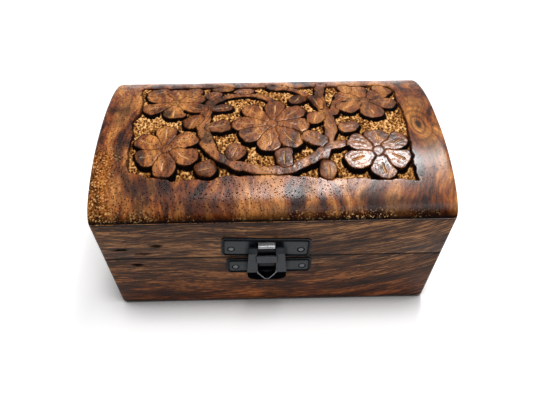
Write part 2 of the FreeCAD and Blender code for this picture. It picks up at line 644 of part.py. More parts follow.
# Lever: bent sheet cut to a tapered outline, with a V-ended slot, a strap across it and flanges at its sides
sheet_body = doc.addObject("PartDesign::Body", "lever_sheet")
lip_bend = f"(-{s.lever_bottom} + {s.lip_height})"
top_bend = f"({s.lever_top} - {s.lever_lean_height})"
lever_line = [(f"{LEVER_OUT} - {s.lever_lean}", s.lever_top), (LEVER_OUT, top_bend), (LEVER_OUT, lip_bend),
              (f"{LEVER_OUT} - {s.lip_lean}", f"-{s.lever_bottom}")]
outer_line = [(f"-({out})", up) for out, up in lever_line]
inner_line = [(f"-({out} - {s.clasp_metal})", up) for out, up in reversed(lever_line)]
pad(sheet_body, sketch(sheet_body, "lever_side", "YZ_Plane", [outer_line + inner_line]),
    s.lever_bottom_width, "Symmetric")
bends = {"outside": (LEVER_OUT, f"{s.lever_bend} + {s.clasp_metal}"), "inside": (LEVER_IN, s.lever_bend)}
for name, (out, radius) in bends.items():
    soften(sheet_body, "Fillet", f"lip_bend_{name}", radius,
           lambda edge: runs_along(edge, "x") and lies_at(edge, y=-value(out), z=value(lip_bend)))

outline_body = doc.addObject("PartDesign::Body", "lever_outline")
wide = f"{s.lever_bottom_width} / 2"
narrow = f"{s.lever_top_width} / 2"
slot_shoulder = f"{SLOT_TIP} + {s.slot_point}"
right_side = [(f"{s.slot_tip_width} / 2", SLOT_TIP), (SLOT_HALF, slot_shoulder), (SLOT_HALF, s.lever_top),
              (narrow, s.lever_top), (wide, lip_bend), (wide, f"-{s.lever_bottom}")]
pad(outline_body, sketch(outline_body, "lever_front", "XZ_Plane", [
    right_side + [(f"-{x}", z) for x, z in reversed(right_side)]]), f"{LEVER_OUT} + {s.cut_over}")
soften(outline_body, "Fillet", "lip_corners", s.lip_corner,
       lambda edge: runs_along(edge, "y") and lies_at(edge, z=-value(s.lever_bottom)))
lever = common("lever_blank", sheet_body, outline_body)
strips_body = doc.addObject("PartDesign::Body", "flange_strips")
pad(strips_body, sketch(strips_body, "flange_front", "XZ_Plane", [
    [(f"{sign} * {narrow}", s.lever_top), (f"{sign} * ({narrow} - {s.clasp_metal})", s.lever_top),
     (f"{sign} * ({wide} - {s.clasp_metal})", lip_bend), (f"{sign} * {wide}", lip_bend)]
    for sign in (-1, 1)]), LEVER_OUT)
flanges = common("lever_flanges", strips_body, block(
    "flange_reach", (f"-{wide}", wide), (f"-{LEVER_OUT}", f"-({LEVER_IN} - {s.flange_depth})"),
    (lip_bend, top_bend)))
strap = block("lever_strap", (f"-{SLOT_HALF} - {s.strap_lap}", f"{SLOT_HALF} + {s.strap_lap}"),
              (f"-{STRAP_IN} - {s.clasp_metal}", f"-{STRAP_IN}"),
              (s.strap_rise, f"{s.strap_rise} + {s.strap_height}"))
strap = rounded("lever_strap_soft", strap, f"{s.clasp_metal} / 2",
                lambda edge: lies_at(edge, y=-value(STRAP_IN) - value(s.clasp_metal)))
lever = fuse("lever_whole", [lever, flanges, strap] + pivot_tabs(
    "lug", LUG_X, s.lug_radius, PIVOT_OUT, f"({LEVER_IN} + {s.clasp_metal} / 2)"))
keep(cut("lever_bored", lever, BORE), "clasp_lever", CLASP)


def leaf(name, side, up, spans):
    """A hinge leaf above or below the rim line, with a tab and a knuckle on each of its stretches."""
    def upward(low, high):
        return (low, high) if up > 0 else (f"-({high})", f"-({low})")

    ends = f"{s.hinge_length} / 2"
    metal = (f"-{s.hinge_metal}", "0")
    flat = block(f"{name}_flat", (f"-{ends}", ends), metal, upward(LEAF_EDGE, s.hinge_leaf))
    flat = rounded(f"{name}_corners", flat, s.hinge_corner,
                   lambda edge: runs_along(edge, "y") and lies_at(edge, z=up * value(s.hinge_leaf)))
    solids = [flat]
    axis_line = {"y": f"-{HINGE_OUT}", "z": "0"}
    for number, (low, high) in enumerate(spans):
        solids.append(block(f"{name}_tab_{number}", (low, high), metal,
                            upward("0", f"{LEAF_EDGE} + {s.hinge_metal}")))
        solids.append(rod(f"{name}_knuckle_{number}", "x", s.knuckle_radius, low, high, axis_line))
    bore_end = f"({ends} + {s.cut_over})"
    bore = rod(f"{name}_bore", "x", f"{s.hinge_pin_radius} + {s.hinge_pin_play}", f"-{bore_end}", bore_end,
               axis_line)
    whole = cut(f"{name}_bored", fuse(f"{name}_whole", solids), bore)
    seats = nail_seats(f"{name}_seats", LID_LEAF_NAILS if up > 0 else BODY_LEAF_NAILS, s.hinge_metal)
    keep(cut(f"{name}_seated", whole, seats), name, HINGES[side])


# Hinges: the lid's leaf has the middle knuckle, the case's leaf the outer two
middle = f"{s.knuckle_middle} / 2"
outer_low = f"({middle} + {s.knuckle_gap})"
outer_high = f"({s.hinge_length} / 2)"
head_end = f"({outer_high} + {s.hinge_pin_head})"
pin_line = {"y": f"-{HINGE_OUT}", "z": "0"}
for side, frame in HINGES.items():
    leaf(f"{side}_hinge_lid_leaf", side, 1, [(f"-{middle}", middle)])
    leaf(f"{side}_hinge_body_leaf", side, -1, [(f"-{outer_high}", f"-{outer_low}"), (outer_low, outer_high)])
    pin = f"{side}_hinge_pin"
    keep(fuse(f"{pin}_whole", [
        rod(f"{pin}_shaft", "x", s.hinge_pin_radius, f"-{outer_high}", outer_high, pin_line),
        rod(f"{pin}_left", "x", s.hinge_pin_head_radius, f"-{head_end}", f"-{outer_high}", pin_line),
        rod(f"{pin}_right", "x", s.hinge_pin_head_radius, outer_high, head_end, pin_line),
    ]), pin, frame)
    nails(f"{side}_hinge_lid_nails", LID_LEAF_NAILS, s.hinge_metal, frame)
    nails(f"{side}_hinge_body_nails", BODY_LEAF_NAILS, s.hinge_metal, frame)

doc.recompute()
failed = [item.Name for item in doc.Objects if {"Invalid", "Error"} & set(item.State)]
failed += [label for label, piece in pieces.items() if piece.Shape.isNull() or not piece.Shape.isValid()]
if failed:
    raise RuntimeError(f"Not built: {failed}")

os.makedirs("parts", exist_ok=True)
for label, piece in pieces.items():
    piece.Shape.exportStep(f"parts/{label}.step")
    print(f"{label}: {len(piece.Shape.Solids)} solid(s), {piece.Shape.Volume:.1f} mm3")
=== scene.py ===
"""Looks of a carved keepsake box: burnt and lacquered wood, a sunk flower panel, a black clasp and hinges.

Metres in Blender, millimetres in the carving's own tables, +Z up, the clasp facing -Y.
"""
import math

import bmesh
import bpy
import numpy as np
from bpy.props import FloatProperty, FloatVectorProperty, IntProperty, PointerProperty
from mathutils import Matrix, Vector


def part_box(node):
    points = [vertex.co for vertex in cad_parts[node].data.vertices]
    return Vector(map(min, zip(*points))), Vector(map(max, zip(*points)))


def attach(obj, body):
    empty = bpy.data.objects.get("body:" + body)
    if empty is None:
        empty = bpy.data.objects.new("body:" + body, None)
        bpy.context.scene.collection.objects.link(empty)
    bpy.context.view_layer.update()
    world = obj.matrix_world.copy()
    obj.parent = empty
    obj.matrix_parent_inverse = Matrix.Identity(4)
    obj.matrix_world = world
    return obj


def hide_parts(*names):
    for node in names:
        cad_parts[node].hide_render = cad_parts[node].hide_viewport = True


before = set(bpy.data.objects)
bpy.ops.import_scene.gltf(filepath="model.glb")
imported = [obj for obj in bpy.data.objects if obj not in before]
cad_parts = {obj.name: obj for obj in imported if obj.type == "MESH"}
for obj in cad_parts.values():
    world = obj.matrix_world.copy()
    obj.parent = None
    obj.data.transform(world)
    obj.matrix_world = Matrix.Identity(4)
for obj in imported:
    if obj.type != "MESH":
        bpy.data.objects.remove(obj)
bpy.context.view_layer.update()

bl_info = {
    "name": "Carved Box",
    "version": (1, 0, 0),
    "blender": (4, 5, 0),
    "location": "3D View > Sidebar > Carved Box",
    "description": "Dresses a carved wooden box with its wood, carving, clasp and hinges",
    "category": "Add Mesh",
}

MM = 0.001
SEAM = 33.5  # height of the seam between case and lid, in millimetres
CUT = 0.3  # half width of a knife cut, in millimetres
PICTURE_WIDTH = 533  # pixels
DOME_LOW, DOME_HIGH = (np.array(corner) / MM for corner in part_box("lid_dome_top"))

# Carving, seen from above in millimetres. Flowers: x, y, turn in degrees, petals, centre to petal tip
FLOWERS = (
    (-45.5, -20.3, 90, 6, 15.2), (46.0, -23.4, 90, 6, 14.8), (-44.0, 14.4, 88, 6, 15.8),
    (44.8, 14.5, 100, 6, 15.6), (0.5, -4.5, 85, 8, 18.8),
)
# Leaves: x, y, turn in degrees, length, width
LEAVES = (
    (-35.0, -2.3, 60, 11.5, 9.0), (-22.8, -6.4, 10, 11.8, 9.0), (-22.0, 8.6, 10, 10.0, 7.6),
    (-15.4, -22.4, 60, 10.0, 9.2), (-28.0, -31.2, 20, 9.8, 9.2), (5.4, -26.0, 95, 10.6, 8.8),
    (23.5, -32.8, 97, 10.8, 8.0), (18.8, -15.4, -35, 13.2, 8.8), (20.6, -0.6, 78, 11.0, 8.8),
    (34.6, -7.8, 5, 10.6, 8.6), (13.4, 15.6, 60, 9.8, 8.0), (-26.6, 21.5, 60, 10.5, 8.0),
    (-11.5, 26.0, 12, 11.0, 8.0), (4.5, 30.5, 0, 11.0, 8.0), (-36.0, 25.5, 80, 12.0, 9.0),
    (-53.0, 26.0, 40, 12.0, 8.5), (22.0, 13.5, 108, 15.0, 6.4), (37.0, 27.0, 95, 11.0, 7.0),
    (55.0, 25.5, 120, 13.0, 8.0), (-22.0, 29.0, 5, 12.0, 7.0),
)
# Vines as arcs: centre x, y, start in degrees, radius, sweep in degrees, width
VINES = (
    (-1.0, 0.0, 211, 33.0, 107, 5.4), (40.5, -55.0, 91, 37.5, 31, 4.6), (20.0, -2.0, 156, 49.8, 46, 6.4),
    (-12.5, 6.0, 30, 15.5, 115, 4.8), (-22.0, -4.0, -26, 48.8, 35, 5.6), (107.5, -13.4, 153, 80.0, 15.5, 4.6),
    (-25.0, -10.0, 12, 52.5, 37, 4.8), (90.0, 16.0, 165, 66.0, 27, 5.4),
)
# Hand-cut front edge of the panel: x, y
PANEL_FRONT = ((-60, -33.2), (-49, -34.4), (-42, -36.7), (-31, -36.7), (-13, -35.6), (8, -35.4), (20, -36.0),
               (28, -37.4), (50, -38.0), (61, -38.8))

# Share of the full depth that the ground has from the panel's front to its back: y, share
GROUND_DEPTHS = ((-36, 1.0), (-26, 0.9), (-10, 0.65), (10, 0.55), (31, 0.4))

# Dark marks on the front boards: middle, half sizes, strength
CASE_MARKS = (((-50, -50, 41.9), (3.6, 8, 1.7), 0.9), ((-65.3, -50, 39.8), (4.8, 8, 1.1), 1.0),
              ((-59.8, -50, 29.2), (4.2, 8, 1.3), 1.0), ((-56.5, -50, 36.9), (5.0, 8, 1.0), 0.9))

# Burnt smudges on the dome: middle, half sizes, strength
DOME_SMUDGES = (((-52, -41, 66), (14, 7, 12), 0.75), ((-30, -46, 62), (16, 6, 8), 0.6),
                ((12, -49, 60), (18, 4, 6), 0.6), ((52, -48, 61), (20, 5, 7), 0.7),
                ((-68, 5, 70), (5, 16, 12), 0.6), ((69, -22, 68), (7, 15, 12), 0.6),
                ((68, 8, 70), (9, 22, 12), 0.4))

LONG_BOARDS = {"box": ("body_front_board", "body_back_board", "bottom_panel"),
               "lid": ("lid_front_rail", "lid_back_rail")}
END_BOARDS = {"box": ("body_left_board", "body_right_board"), "lid": ("lid_left_rail", "lid_right_rail")}
SHEET_METAL = {"box": ("clasp_base_plate", "left_hinge_body_leaf", "right_hinge_body_leaf"),
               "lid": ("clasp_hook_plate", "left_hinge_lid_leaf", "right_hinge_lid_leaf"),
               "lever": ("clasp_lever",)}
PINS = ("clasp_pivot_pin", "clasp_spring", "left_hinge_pin", "right_hinge_pin")
NAILS = {"box": ("clasp_base_nails", "left_hinge_body_nails", "right_hinge_body_nails"),
         "lid": ("clasp_hook_nails", "left_hinge_lid_nails", "right_hinge_lid_nails")}


def linear(code):
    """A hex sRGB colour as linear RGBA."""
    channels = [int(code[i:i + 2], 16) / 255 for i in (1, 3, 5)]
    return tuple(c / 12.92 if c <= 0.04045 else ((c + 0.055) / 1.055) ** 2.4 for c in channels) + (1.0,)


def colour(code, name, description):
    return FloatVectorProperty(name=name, description=description, subtype="COLOR", size=4, min=0, max=1,
                               default=linear(code))


def number(size, name, description):
    return FloatProperty(name=name, description=description, default=size)


def length(size, name, description):
    """A length property, given in millimetres."""
    return FloatProperty(name=name, description=description, default=size * MM, unit="LENGTH", precision=5)


def angle(size, name, description):
    """An angle property, given in degrees."""
    return FloatProperty(name=name, description=description, default=math.radians(size), subtype="ANGLE")


class CarvingSettings(bpy.types.PropertyGroup):
    depth: length(2.6, "Ground depth", "Sunk ground below the dome's surface")
    wall: length(0.45, "Wall run", "Width of the cut wall, seen from above")
    roughness: length(0.6, "Ground roughness", "Height of the torn, punched ground")
    gouge: length(1.15, "Gouge mark", "Size of one punch mark in the ground")
    groove: length(0.32, "Outline depth", "Knife cuts round petals and leaves")
    slit: length(0.8, "Slit depth", "Slits in the petals and veins in the leaves")
    pillow: length(0.1, "Edge rounding", "How far petals and leaves fall off at their edges")
    knife: length(0.05, "Knife marks", "Unevenness of the carved tops")
    petal_root: length(2.0, "Petal root", "From the flower's centre to the root of a petal")
    petal_width: length(10.6, "Petal width", "Width of one petal")
    panel_half: length(60.4, "Panel half width", "From the middle to the panel's ends")
    panel_back: length(31.0, "Panel back", "From the crown to the panel's back edge")
    wobble: length(0.6, "Hand wobble", "Unevenness of the cut outlines")
    end_round: length(1.6, "End rounding", "Rounding of the dome's two end arches")
    sway: length(0.12, "Sway", "Slow unevenness of the sanded dome")
    mesh_step: length(0.32, "Mesh step", "Spacing of the carved mesh")
    seed: IntProperty(name="Seed", description="Seed of the hand-cut unevenness", default=7, min=0)


class WoodSettings(bpy.types.PropertyGroup):
    dome_light: colour("#CA8340", "Dome light", "Lightest streaks of the dome")
    dome_mid: colour("#844013", "Dome mid", "Main colour of the dome")
    dome_dark: colour("#280D04", "Dome dark", "Burnt streaks of the dome")
    # Also painted as shade in the carving's walls and cuts and along the case's seam
    char: colour("#090403", "Char", "Burnt edges of the carving")
    torn_light: colour("#FBC885", "Torn light", "Raised flecks of the sunk ground")
    torn_mid: colour("#AE7034", "Torn mid", "Main colour of the sunk ground")
    torn_dark: colour("#2E1405", "Torn dark", "Pits of the sunk ground")
    case_light: colour("#A8764C", "Case light", "Light grain of the boards")
    case_mid: colour("#543421", "Case mid", "Main colour of the boards")
    case_dark: colour("#1A0E09", "Case dark", "Dark grain of the boards")
    foot_tint: colour("#FFC88C", "Foot tint", "Warmer tint of the case toward its foot")
    edge_wear: length(0.35, "Edge wear", "Rounding of the boards' edges")


class MetalSettings(bpy.types.PropertyGroup):
    enamel: colour("#050608", "Enamel", "Black stoved enamel on clasp and hinges")
    # Grey of dusty enamel, which also stands for the painted sheen of its lit faces
    dust_and_sheen: colour("#262C33", "Dust", "Enamel rubbed dull and dusty")
    # Lightest on the tongue's upward faces, where it is partly a painted highlight
    bare: colour("#C4C6C8", "Bare steel", "Steel showing on the clasp's bends")
    edge_wear: length(0.16, "Edge wear", "Rounding of the sheet's edges")
    nail_radius: length(1.28, "Nail radius", "Radius of a nail's round head")
    nail_flatness: number(0.36, "Nail flatness", "Height of a head over its radius")
    nail_drop: length(0.32, "Nail drop", "How far the heads sit below the middle of their seats")
    nail_seat: length(0.45, "Nail seat", "From the top of the frame's nail head down to its seat")
    rim_radius: length(0.4, "Rim radius", "Pressed bead along the plates' edges")
    rim_corner: length(1.2, "Rim corner", "Corner radius of that bead")
    lip_top: length(-4.9, "Lip top", "Upper edge of the lever's shade-painted lip, from the rim of the case")
    # The lip below this edge is painted black as shade
    lip_round: length(4.8, "Lip rounding", "How far the lip's lower corners are drawn in")
    wall_lean: angle(5.1, "Wall lean", "Lean of the front wall")


class StageSettings(bpy.types.PropertyGroup):
    focal_pixels: number(612.25, "Focal length", "In pixels of the picture")
    distance: length(303.03, "Distance", "Camera to the point it looks at")
    elevation: angle(41.949, "Elevation", "Camera above the horizon")
    azimuth: angle(1.192, "Azimuth", "Camera round the box")
    roll: angle(-0.307, "Roll", "Turn of the picture")
    aim_height: length(35.0, "Aim height", "Height of the aimed point on the box's axis")
    aim_right: length(-1.798, "Aim right", "Shift of the aimed point to the right")
    aim_up: length(-9.555, "Aim up", "Shift of the aimed point upward")
    sky: number(0.38, "Sky strength", "Brightness of the white surroundings")
    floor_reach: length(6000, "Floor reach", "From the box to the floor's edges")
    lamp_aim: length(40, "Lamp aim", "Height of the point that the lamps face")


class CarvedBoxSettings(bpy.types.PropertyGroup):
    carving: PointerProperty(type=CarvingSettings)
    wood: PointerProperty(type=WoodSettings)
    metal: PointerProperty(type=MetalSettings)
    stage: PointerProperty(type=StageSettings)


def add(tree, kind, inputs=(), stops=(), **settings):
    """Add a node, set or link its inputs in order or by key, set a ramp's stops, and give its outputs."""
    node = tree.nodes.new(kind)
    for name, setting in settings.items():
        setattr(node, name, setting)
    for key, source in inputs.items() if isinstance(inputs, dict) else enumerate(inputs):
        if isinstance(source, bpy.types.NodeSocket):
            tree.links.new(source, node.inputs[key])
        else:
            node.inputs[key].default_value = source
    for i, (place, tone) in enumerate(stops):
        elements = node.color_ramp.elements
        stop = elements[i] if i < len(elements) else elements.new(place)
        stop.position, stop.color = place, tone
    return node.outputs


def new_material(name):
    material = bpy.data.materials.new(name)
    material.use_nodes = True
    material.node_tree.nodes.clear()
    return material, material.node_tree


def finish_material(tree, sockets):
    """Principled surface with the given sockets, linked to the output."""
    surface = add(tree, "ShaderNodeBsdfPrincipled", sockets)
    add(tree, "ShaderNodeOutputMaterial", {"Surface": surface["BSDF"]})


def mottled(tree, place, sizes, detail=2.0, roughness=0.55):
    """Mottling whose lumps have the given sizes in millimetres along x, y and z."""
    scaled = add(tree, "ShaderNodeMapping", {"Vector": place, "Scale": [1 / (size * MM) for size in sizes]})
    lumpy = add(tree, "ShaderNodeTexNoise", {
        "Vector": scaled["Vector"], "Scale": 1.0, "Detail": detail, "Roughness": roughness})
    return lumpy["Fac"]


def drifted(tree, place, size, reach):
    """Coordinates pushed about by soft noise, both in millimetres."""
    drift = add(tree, "ShaderNodeTexNoise", {"Vector": place, "Scale": 1 / (size * MM), "Detail": 1.0})
    drift = drift["Color"]
    for operation, other in (("SUBTRACT", [0.5] * 3), ("MULTIPLY", [reach * MM] * 3), ("ADD", place)):
        drift = add(tree, "ShaderNodeVectorMath", (drift, other), operation=operation)["Vector"]
    return drift


def patch(tree, place, middle, reach, share):
    """A soft-edged spot, its middle and its half sizes in millimetres."""
    for operation, sizes in (("SUBTRACT", middle), ("DIVIDE", reach)):
        metres = [size * MM for size in sizes]
        place = add(tree, "ShaderNodeVectorMath", (place, metres), operation=operation)["Vector"]
    away = add(tree, "ShaderNodeVectorMath", (place,), operation="LENGTH")["Value"]
    core = 0.45
    return add(tree, "ShaderNodeMapRange", (away, core, 1.0, share, 0.0))["Result"]


def case_material(name, wood, turn):
    """Hardwood boards, planed, stained and waxed: straight dark and light grain, pores, smudges; painted
    shade along the seam and a lighter lid edge above it, partly wear and partly painted highlight.
    """
    material, tree = new_material(name)
    given = add(tree, "ShaderNodeTexCoord")
    place = add(tree, "ShaderNodeMapping", {"Vector": given["Object"], "Rotation": (0, 0, turn)})["Vector"]
    spot, facing = (add(tree, "ShaderNodeSeparateXYZ", (vector,)) for vector in (place, given["Normal"]))

    # Grain that runs level at the left and sweeps upward at the right
    sweep = add(tree, "ShaderNodeMapRange", (spot["X"], 0, 76 * MM))["Result"]
    for operation, amount in (("POWER", 2.0), ("MULTIPLY", -20 * MM)):
        sweep = add(tree, "ShaderNodeMath", (sweep, amount), operation=operation)["Value"]
    sweep = add(tree, "ShaderNodeCombineXYZ", {"Z": sweep})["Vector"]
    swept = add(tree, "ShaderNodeVectorMath", (place, sweep), operation="ADD")["Vector"]
    bent = drifted(tree, swept, 34, 5)
    figure = mottled(tree, bent, (48, 7, 4.4), 5.0, 0.62)
    lines = mottled(tree, bent, (11, 1.0, 0.6), 3.0, 0.65)
    fibres = mottled(tree, bent, (3.6, 0.5, 0.34), 1.0)
    pores = mottled(tree, bent, (3.2, 0.8, 0.55), 1.0)
    smudges = mottled(tree, place, (24, 14, 10))
    grain = add(tree, "ShaderNodeMath", (figure, lines), operation="ADD")["Value"]
    ragged = drifted(tree, place, 2.5, 1.0)
    marks = 0.0
    for mark in CASE_MARKS:
        dark = patch(tree, ragged, *mark)
        marks = add(tree, "ShaderNodeMath", (dark, marks), operation="MAXIMUM")["Value"]

    # Distances from the seam and from the lower edge of the lid, painted lighter partly as wear and partly as
    # highlight, and how level a face lies
    highlit_lower_edge = SEAM + 0.9
    offsets = [add(tree, "ShaderNodeMath", (spot["Z"], height * MM), operation="SUBTRACT")["Value"]
               for height in (SEAM, highlit_lower_edge)]
    from_seam, from_edge, level = (add(tree, "ShaderNodeMath", (offset,), operation="ABSOLUTE")["Value"]
                                   for offset in (*offsets, facing["Z"]))

    # Masks: the value that each follows, the ends of its range, and the mask at those ends
    spans = {
        "tone": (grain, 0.8, 1.22),
        "low": (spot["Z"], 32 * MM, 4 * MM, 0.0, 0.9),
        "fibrous": (fibres, 0.3, 0.7, 0.55, 1.45),
        "pore": (pores, 0.58, 0.66),
        "dark_pore": (pores, 0.58, 0.66, 0.0, 0.8),
        "smudge": (smudges, 0.58, 0.78, 0.0, 0.75),
        # Lighter line along the lid's lower edge: partly wear, partly painted highlight
        "edge": (from_edge, 0.2 * MM, 0.7 * MM, 0.6, 0.0),
        "streak": (figure, 0.45, 0.6),
        # Dark line along the seam between case and lid: painted shade
        "seam": (from_seam, 0.3 * MM, 0.8 * MM, 0.9, 0.0),
        "joint": (spot["Z"], 54.8 * MM, 55.8 * MM, 0.0, 0.85),
        "foot": (spot["Z"], 3.0 * MM, 0.4 * MM, 0.0, 0.8),
        "upright": (level, 0.8, 0.97, 1.0, 0.0),
        "roughness": (fibres, 0.3, 0.7, 0.42, 0.62),
        "gloss": (marks, 0.0, 1.0, 0.2, 0.0),
    }
    mask = {key: add(tree, "ShaderNodeMapRange", span)["Result"] for key, span in spans.items()}
    for made, first, operation, second in (
            ("worn_and_highlight", "edge", "MULTIPLY", "streak"),
            ("joints", "seam", "MAXIMUM", "joint"),
            ("joints", "joints", "MAXIMUM", "foot"),
            ("joints", "joints", "MULTIPLY", "upright")):
        mask[made] = add(tree, "ShaderNodeMath", (mask[first], mask[second]), operation=operation)["Value"]

    base = add(tree, "ShaderNodeValToRGB", (mask["tone"],), stops=(
        (0.0, wood.case_dark), (0.5, wood.case_mid), (1.0, wood.case_light)))["Color"]
    for mode, share, tone in (
            ("MULTIPLY", mask["low"], wood.foot_tint),
            ("MULTIPLY", 1.0, mask["fibrous"]),
            ("MIX", mask["dark_pore"], wood.case_dark),
            ("MIX", mask["smudge"], wood.case_dark),
            ("MIX", marks, wood.char),
            ("MIX", mask["worn_and_highlight"], wood.case_light),
            ("MIX", mask["joints"], wood.char)):
        base = add(tree, "ShaderNodeMix", {0: share, 6: base, 7: tone}, data_type="RGBA", blend_type=mode)[2]
    relief = add(tree, "ShaderNodeMath", (lines, mask["pore"]), operation="SUBTRACT")["Value"]
    bump = add(tree, "ShaderNodeBump", {"Height": relief, "Strength": 0.4, "Distance": 0.25 * MM})
    finish_material(tree, {
        "Base Color": base, "Roughness": mask["roughness"], "Specular IOR Level": mask["gloss"],
        "Normal": bump["Normal"]})
    return material


def dome_material(name, wood):
    """Solid dome, torch-burnt and lacquered: streaked red wood, pores, charred cuts and walls also painted
    dark as shade, torn golden ground darker at the walls' foot as painted shade.
    """
    material, tree = new_material(name)
    given = add(tree, "ShaderNodeTexCoord")
    place = given["Object"]
    ground, burn_and_shade, slit, fleck_and_shade, rubbed = (
        add(tree, "ShaderNodeAttribute", attribute_name=carved)["Fac"]
        for carved in ("ground", "burn_and_shade", "slit", "fleck_and_shade", "rubbed"))
    bent, ragged = drifted(tree, place, 28, 16), drifted(tree, place, 9, 9)
    streaks = mottled(tree, bent, (8, 30, 40), 8.0, 0.68)
    fibres = mottled(tree, bent, (0.9, 4, 4), 3.0, 0.65)
    clouds = mottled(tree, bent, (13, 20, 24), 5.0, 0.65)
    specks = mottled(tree, place, (0.9, 0.9, 0.9), 2.0, 0.7)
    # Pores, drawn coarser than real ones so that they show
    dots = add(tree, "ShaderNodeTexVoronoi", {"Vector": place, "Scale": 1 / (1.15 * MM)})["Distance"]
    drift, spot, facing = (
        add(tree, "ShaderNodeSeparateXYZ", (vector,)) for vector in (ragged, place, given["Normal"]))

    # A knot near the right end, with rings round it
    knot = add(tree, "ShaderNodeMapping", {
        "Vector": drifted(tree, place, 12, 3), "Location": (-66 * MM, 4 * MM, 0), "Scale": (1, 0.55, 0)})
    away = add(tree, "ShaderNodeVectorMath", (knot["Vector"],), operation="LENGTH")["Value"]
    rings = add(tree, "ShaderNodeMath", (away, math.tau / (2.6 * MM)), operation="MULTIPLY")["Value"]
    rings = add(tree, "ShaderNodeMath", (rings,), operation="SINE")["Value"]

    # Masks: the value that each follows, the ends of its range, and the mask at those ends
    spans = {
        "tone": (streaks, 0.39, 0.61),
        "fibrous": (fibres, 0.32, 0.68, 0.6, 1.4),
        "cloud": (clouds, 0.53, 0.66, 0.0, 0.85),
        "rubbed": (rubbed, 0.0, 1.0, 0.0, 0.08),
        "ring": (rings, -0.2, 1.0),
        "round_knot": (away, 4 * MM, 15 * MM, 0.55, 0.0),
        "knot": (away, 1.0 * MM, 2.4 * MM, 0.85, 0.0),
        "left_end": (drift["X"], -62 * MM, -72 * MM),
        "left_front": (drift["Y"], -16 * MM, -28 * MM),
        "outside": (facing["Z"], -0.6, -0.2),
        "low": (spot["Z"], 62 * MM, 57 * MM),
        "lower": (spot["Z"], 60 * MM, 56.6 * MM, 0.0, 0.95),
        "lowest": (spot["Z"], 57.8 * MM, 56.8 * MM, 0.0, 0.95),
        "patchy": (clouds, 0.42, 0.6),
        "pale_speck": (specks, 0.57, 0.63, 0.0, 0.9),
        "dark_speck": (specks, 0.5, 0.4, 0.0, 0.85),
        "dot": (dots, 0.16, 0.36, 1.0, 0.0),
        "fainter_right": (drift["X"], -20 * MM, 40 * MM, 1.0, 0.4),
        "uneven": (specks, 0.35, 0.65, -0.4, 0.4),
        "dull_cloud": (clouds, 0.45, 0.75, 0.0, 0.35),
        "dull_knot": (away, 7 * MM, 18 * MM, 0.4, 0.0),
        "front_gloss": (spot["Y"], -15 * MM, 20 * MM, 0.65, 0.05),
        "right_gloss": (drift["X"], -60 * MM, 50 * MM, 0.25, 1.4),
    }
    mask = {key: add(tree, "ShaderNodeMapRange", span)["Result"] for key, span in spans.items()}
    for made, first, operation, second in (
            ("rings", "ring", "MULTIPLY", "round_knot"),
            ("left", "left_end", "MULTIPLY", "left_front"),
            ("pale_left", "left", "MULTIPLY", 0.25),
            ("edge", "outside", "MULTIPLY", "low"),
            ("dark_edge", "edge", "MULTIPLY", 0.75),
            ("patchy_edge", "edge", "MULTIPLY", "patchy"),
            ("sanded", "left", "MAXIMUM", "patchy_edge"),
            ("pale_sanded", "sanded", "MULTIPLY", "pale_speck"),
            ("dark_sanded", "sanded", "MULTIPLY", "dark_speck"),
            ("scorch", "outside", "MULTIPLY", "lower"),
            ("joint", "outside", "MULTIPLY", "lowest"),
            ("pore", "dot", "MULTIPLY", "fainter_right"),
            ("dark_pore", "pore", "MULTIPLY", 0.9),
            ("lacquer", "front_gloss", "MULTIPLY", "right_gloss")):
        pair = mask[first], mask.get(second, second)
        mask[made] = add(tree, "ShaderNodeMath", pair, operation=operation)["Value"]
    dull = ground
    for other in (burn_and_shade, *(mask[key] for key in ("sanded", "pore", "edge", "dull_cloud", "dull_knot"))):
        dull = add(tree, "ShaderNodeMath", (dull, other), operation="MAXIMUM")["Value"]
    fleck_and_shade = add(tree, "ShaderNodeMath", (fleck_and_shade, mask["uneven"]), operation="ADD")["Value"]
    torn = add(tree, "ShaderNodeValToRGB", (fleck_and_shade,), stops=(
        (0.0, wood.torn_dark), (0.5, wood.torn_mid), (1.0, wood.torn_light)))["Color"]

    base = add(tree, "ShaderNodeValToRGB", (mask["tone"],), stops=(
        (0.0, wood.dome_dark), (0.4, wood.dome_mid), (1.0, wood.dome_light)))["Color"]
    smudges = [("MIX", patch(tree, ragged, *smudge), wood.dome_dark) for smudge in DOME_SMUDGES]
    for mode, share, tone in (
            ("MIX", mask["rubbed"], wood.dome_light),
            ("MULTIPLY", 1.0, mask["fibrous"]),
            ("MIX", mask["cloud"], wood.dome_dark),
            *smudges,
            ("MIX", mask["rings"], wood.dome_dark),
            ("MIX", mask["knot"], wood.char),
            ("MIX", mask["dark_edge"], wood.dome_dark),
            ("MIX", mask["pale_left"], wood.dome_light),
            ("MIX", mask["scorch"], wood.char),
            ("MIX", mask["pale_sanded"], wood.torn_light),
            ("MIX", mask["dark_sanded"], wood.char),
            ("MIX", mask["joint"], wood.char),
            ("MIX", mask["dark_pore"], wood.char),
            ("MIX", burn_and_shade, wood.char),
            ("MIX", ground, torn),
            ("MIX", slit, wood.torn_light)):
        base = add(tree, "ShaderNodeMix", {0: share, 6: base, 7: tone}, data_type="RGBA", blend_type=mode)[2]
    roughness, gloss, bare = (add(tree, "ShaderNodeMapRange", (dull, 0.0, *span))["Result"] for span in (
        (0.6, 0.26, 0.8), (0.6, 0.4, 0.05), (0.5, 1.0, 0.0)))
    coat = add(tree, "ShaderNodeMath", (mask["lacquer"], bare), operation="MULTIPLY")["Value"]
    relief = add(tree, "ShaderNodeMath", (fibres, mask["pore"]), operation="SUBTRACT")["Value"]
    bump = add(tree, "ShaderNodeBump", {"Height": relief, "Strength": 0.22, "Distance": 0.2 * MM})
    finish_material(tree, {
        "Base Color": base, "Normal": bump["Normal"], "Roughness": roughness, "Specular IOR Level": gloss,
        "Coat Weight": coat, "Coat Roughness": 0.24})
    return material


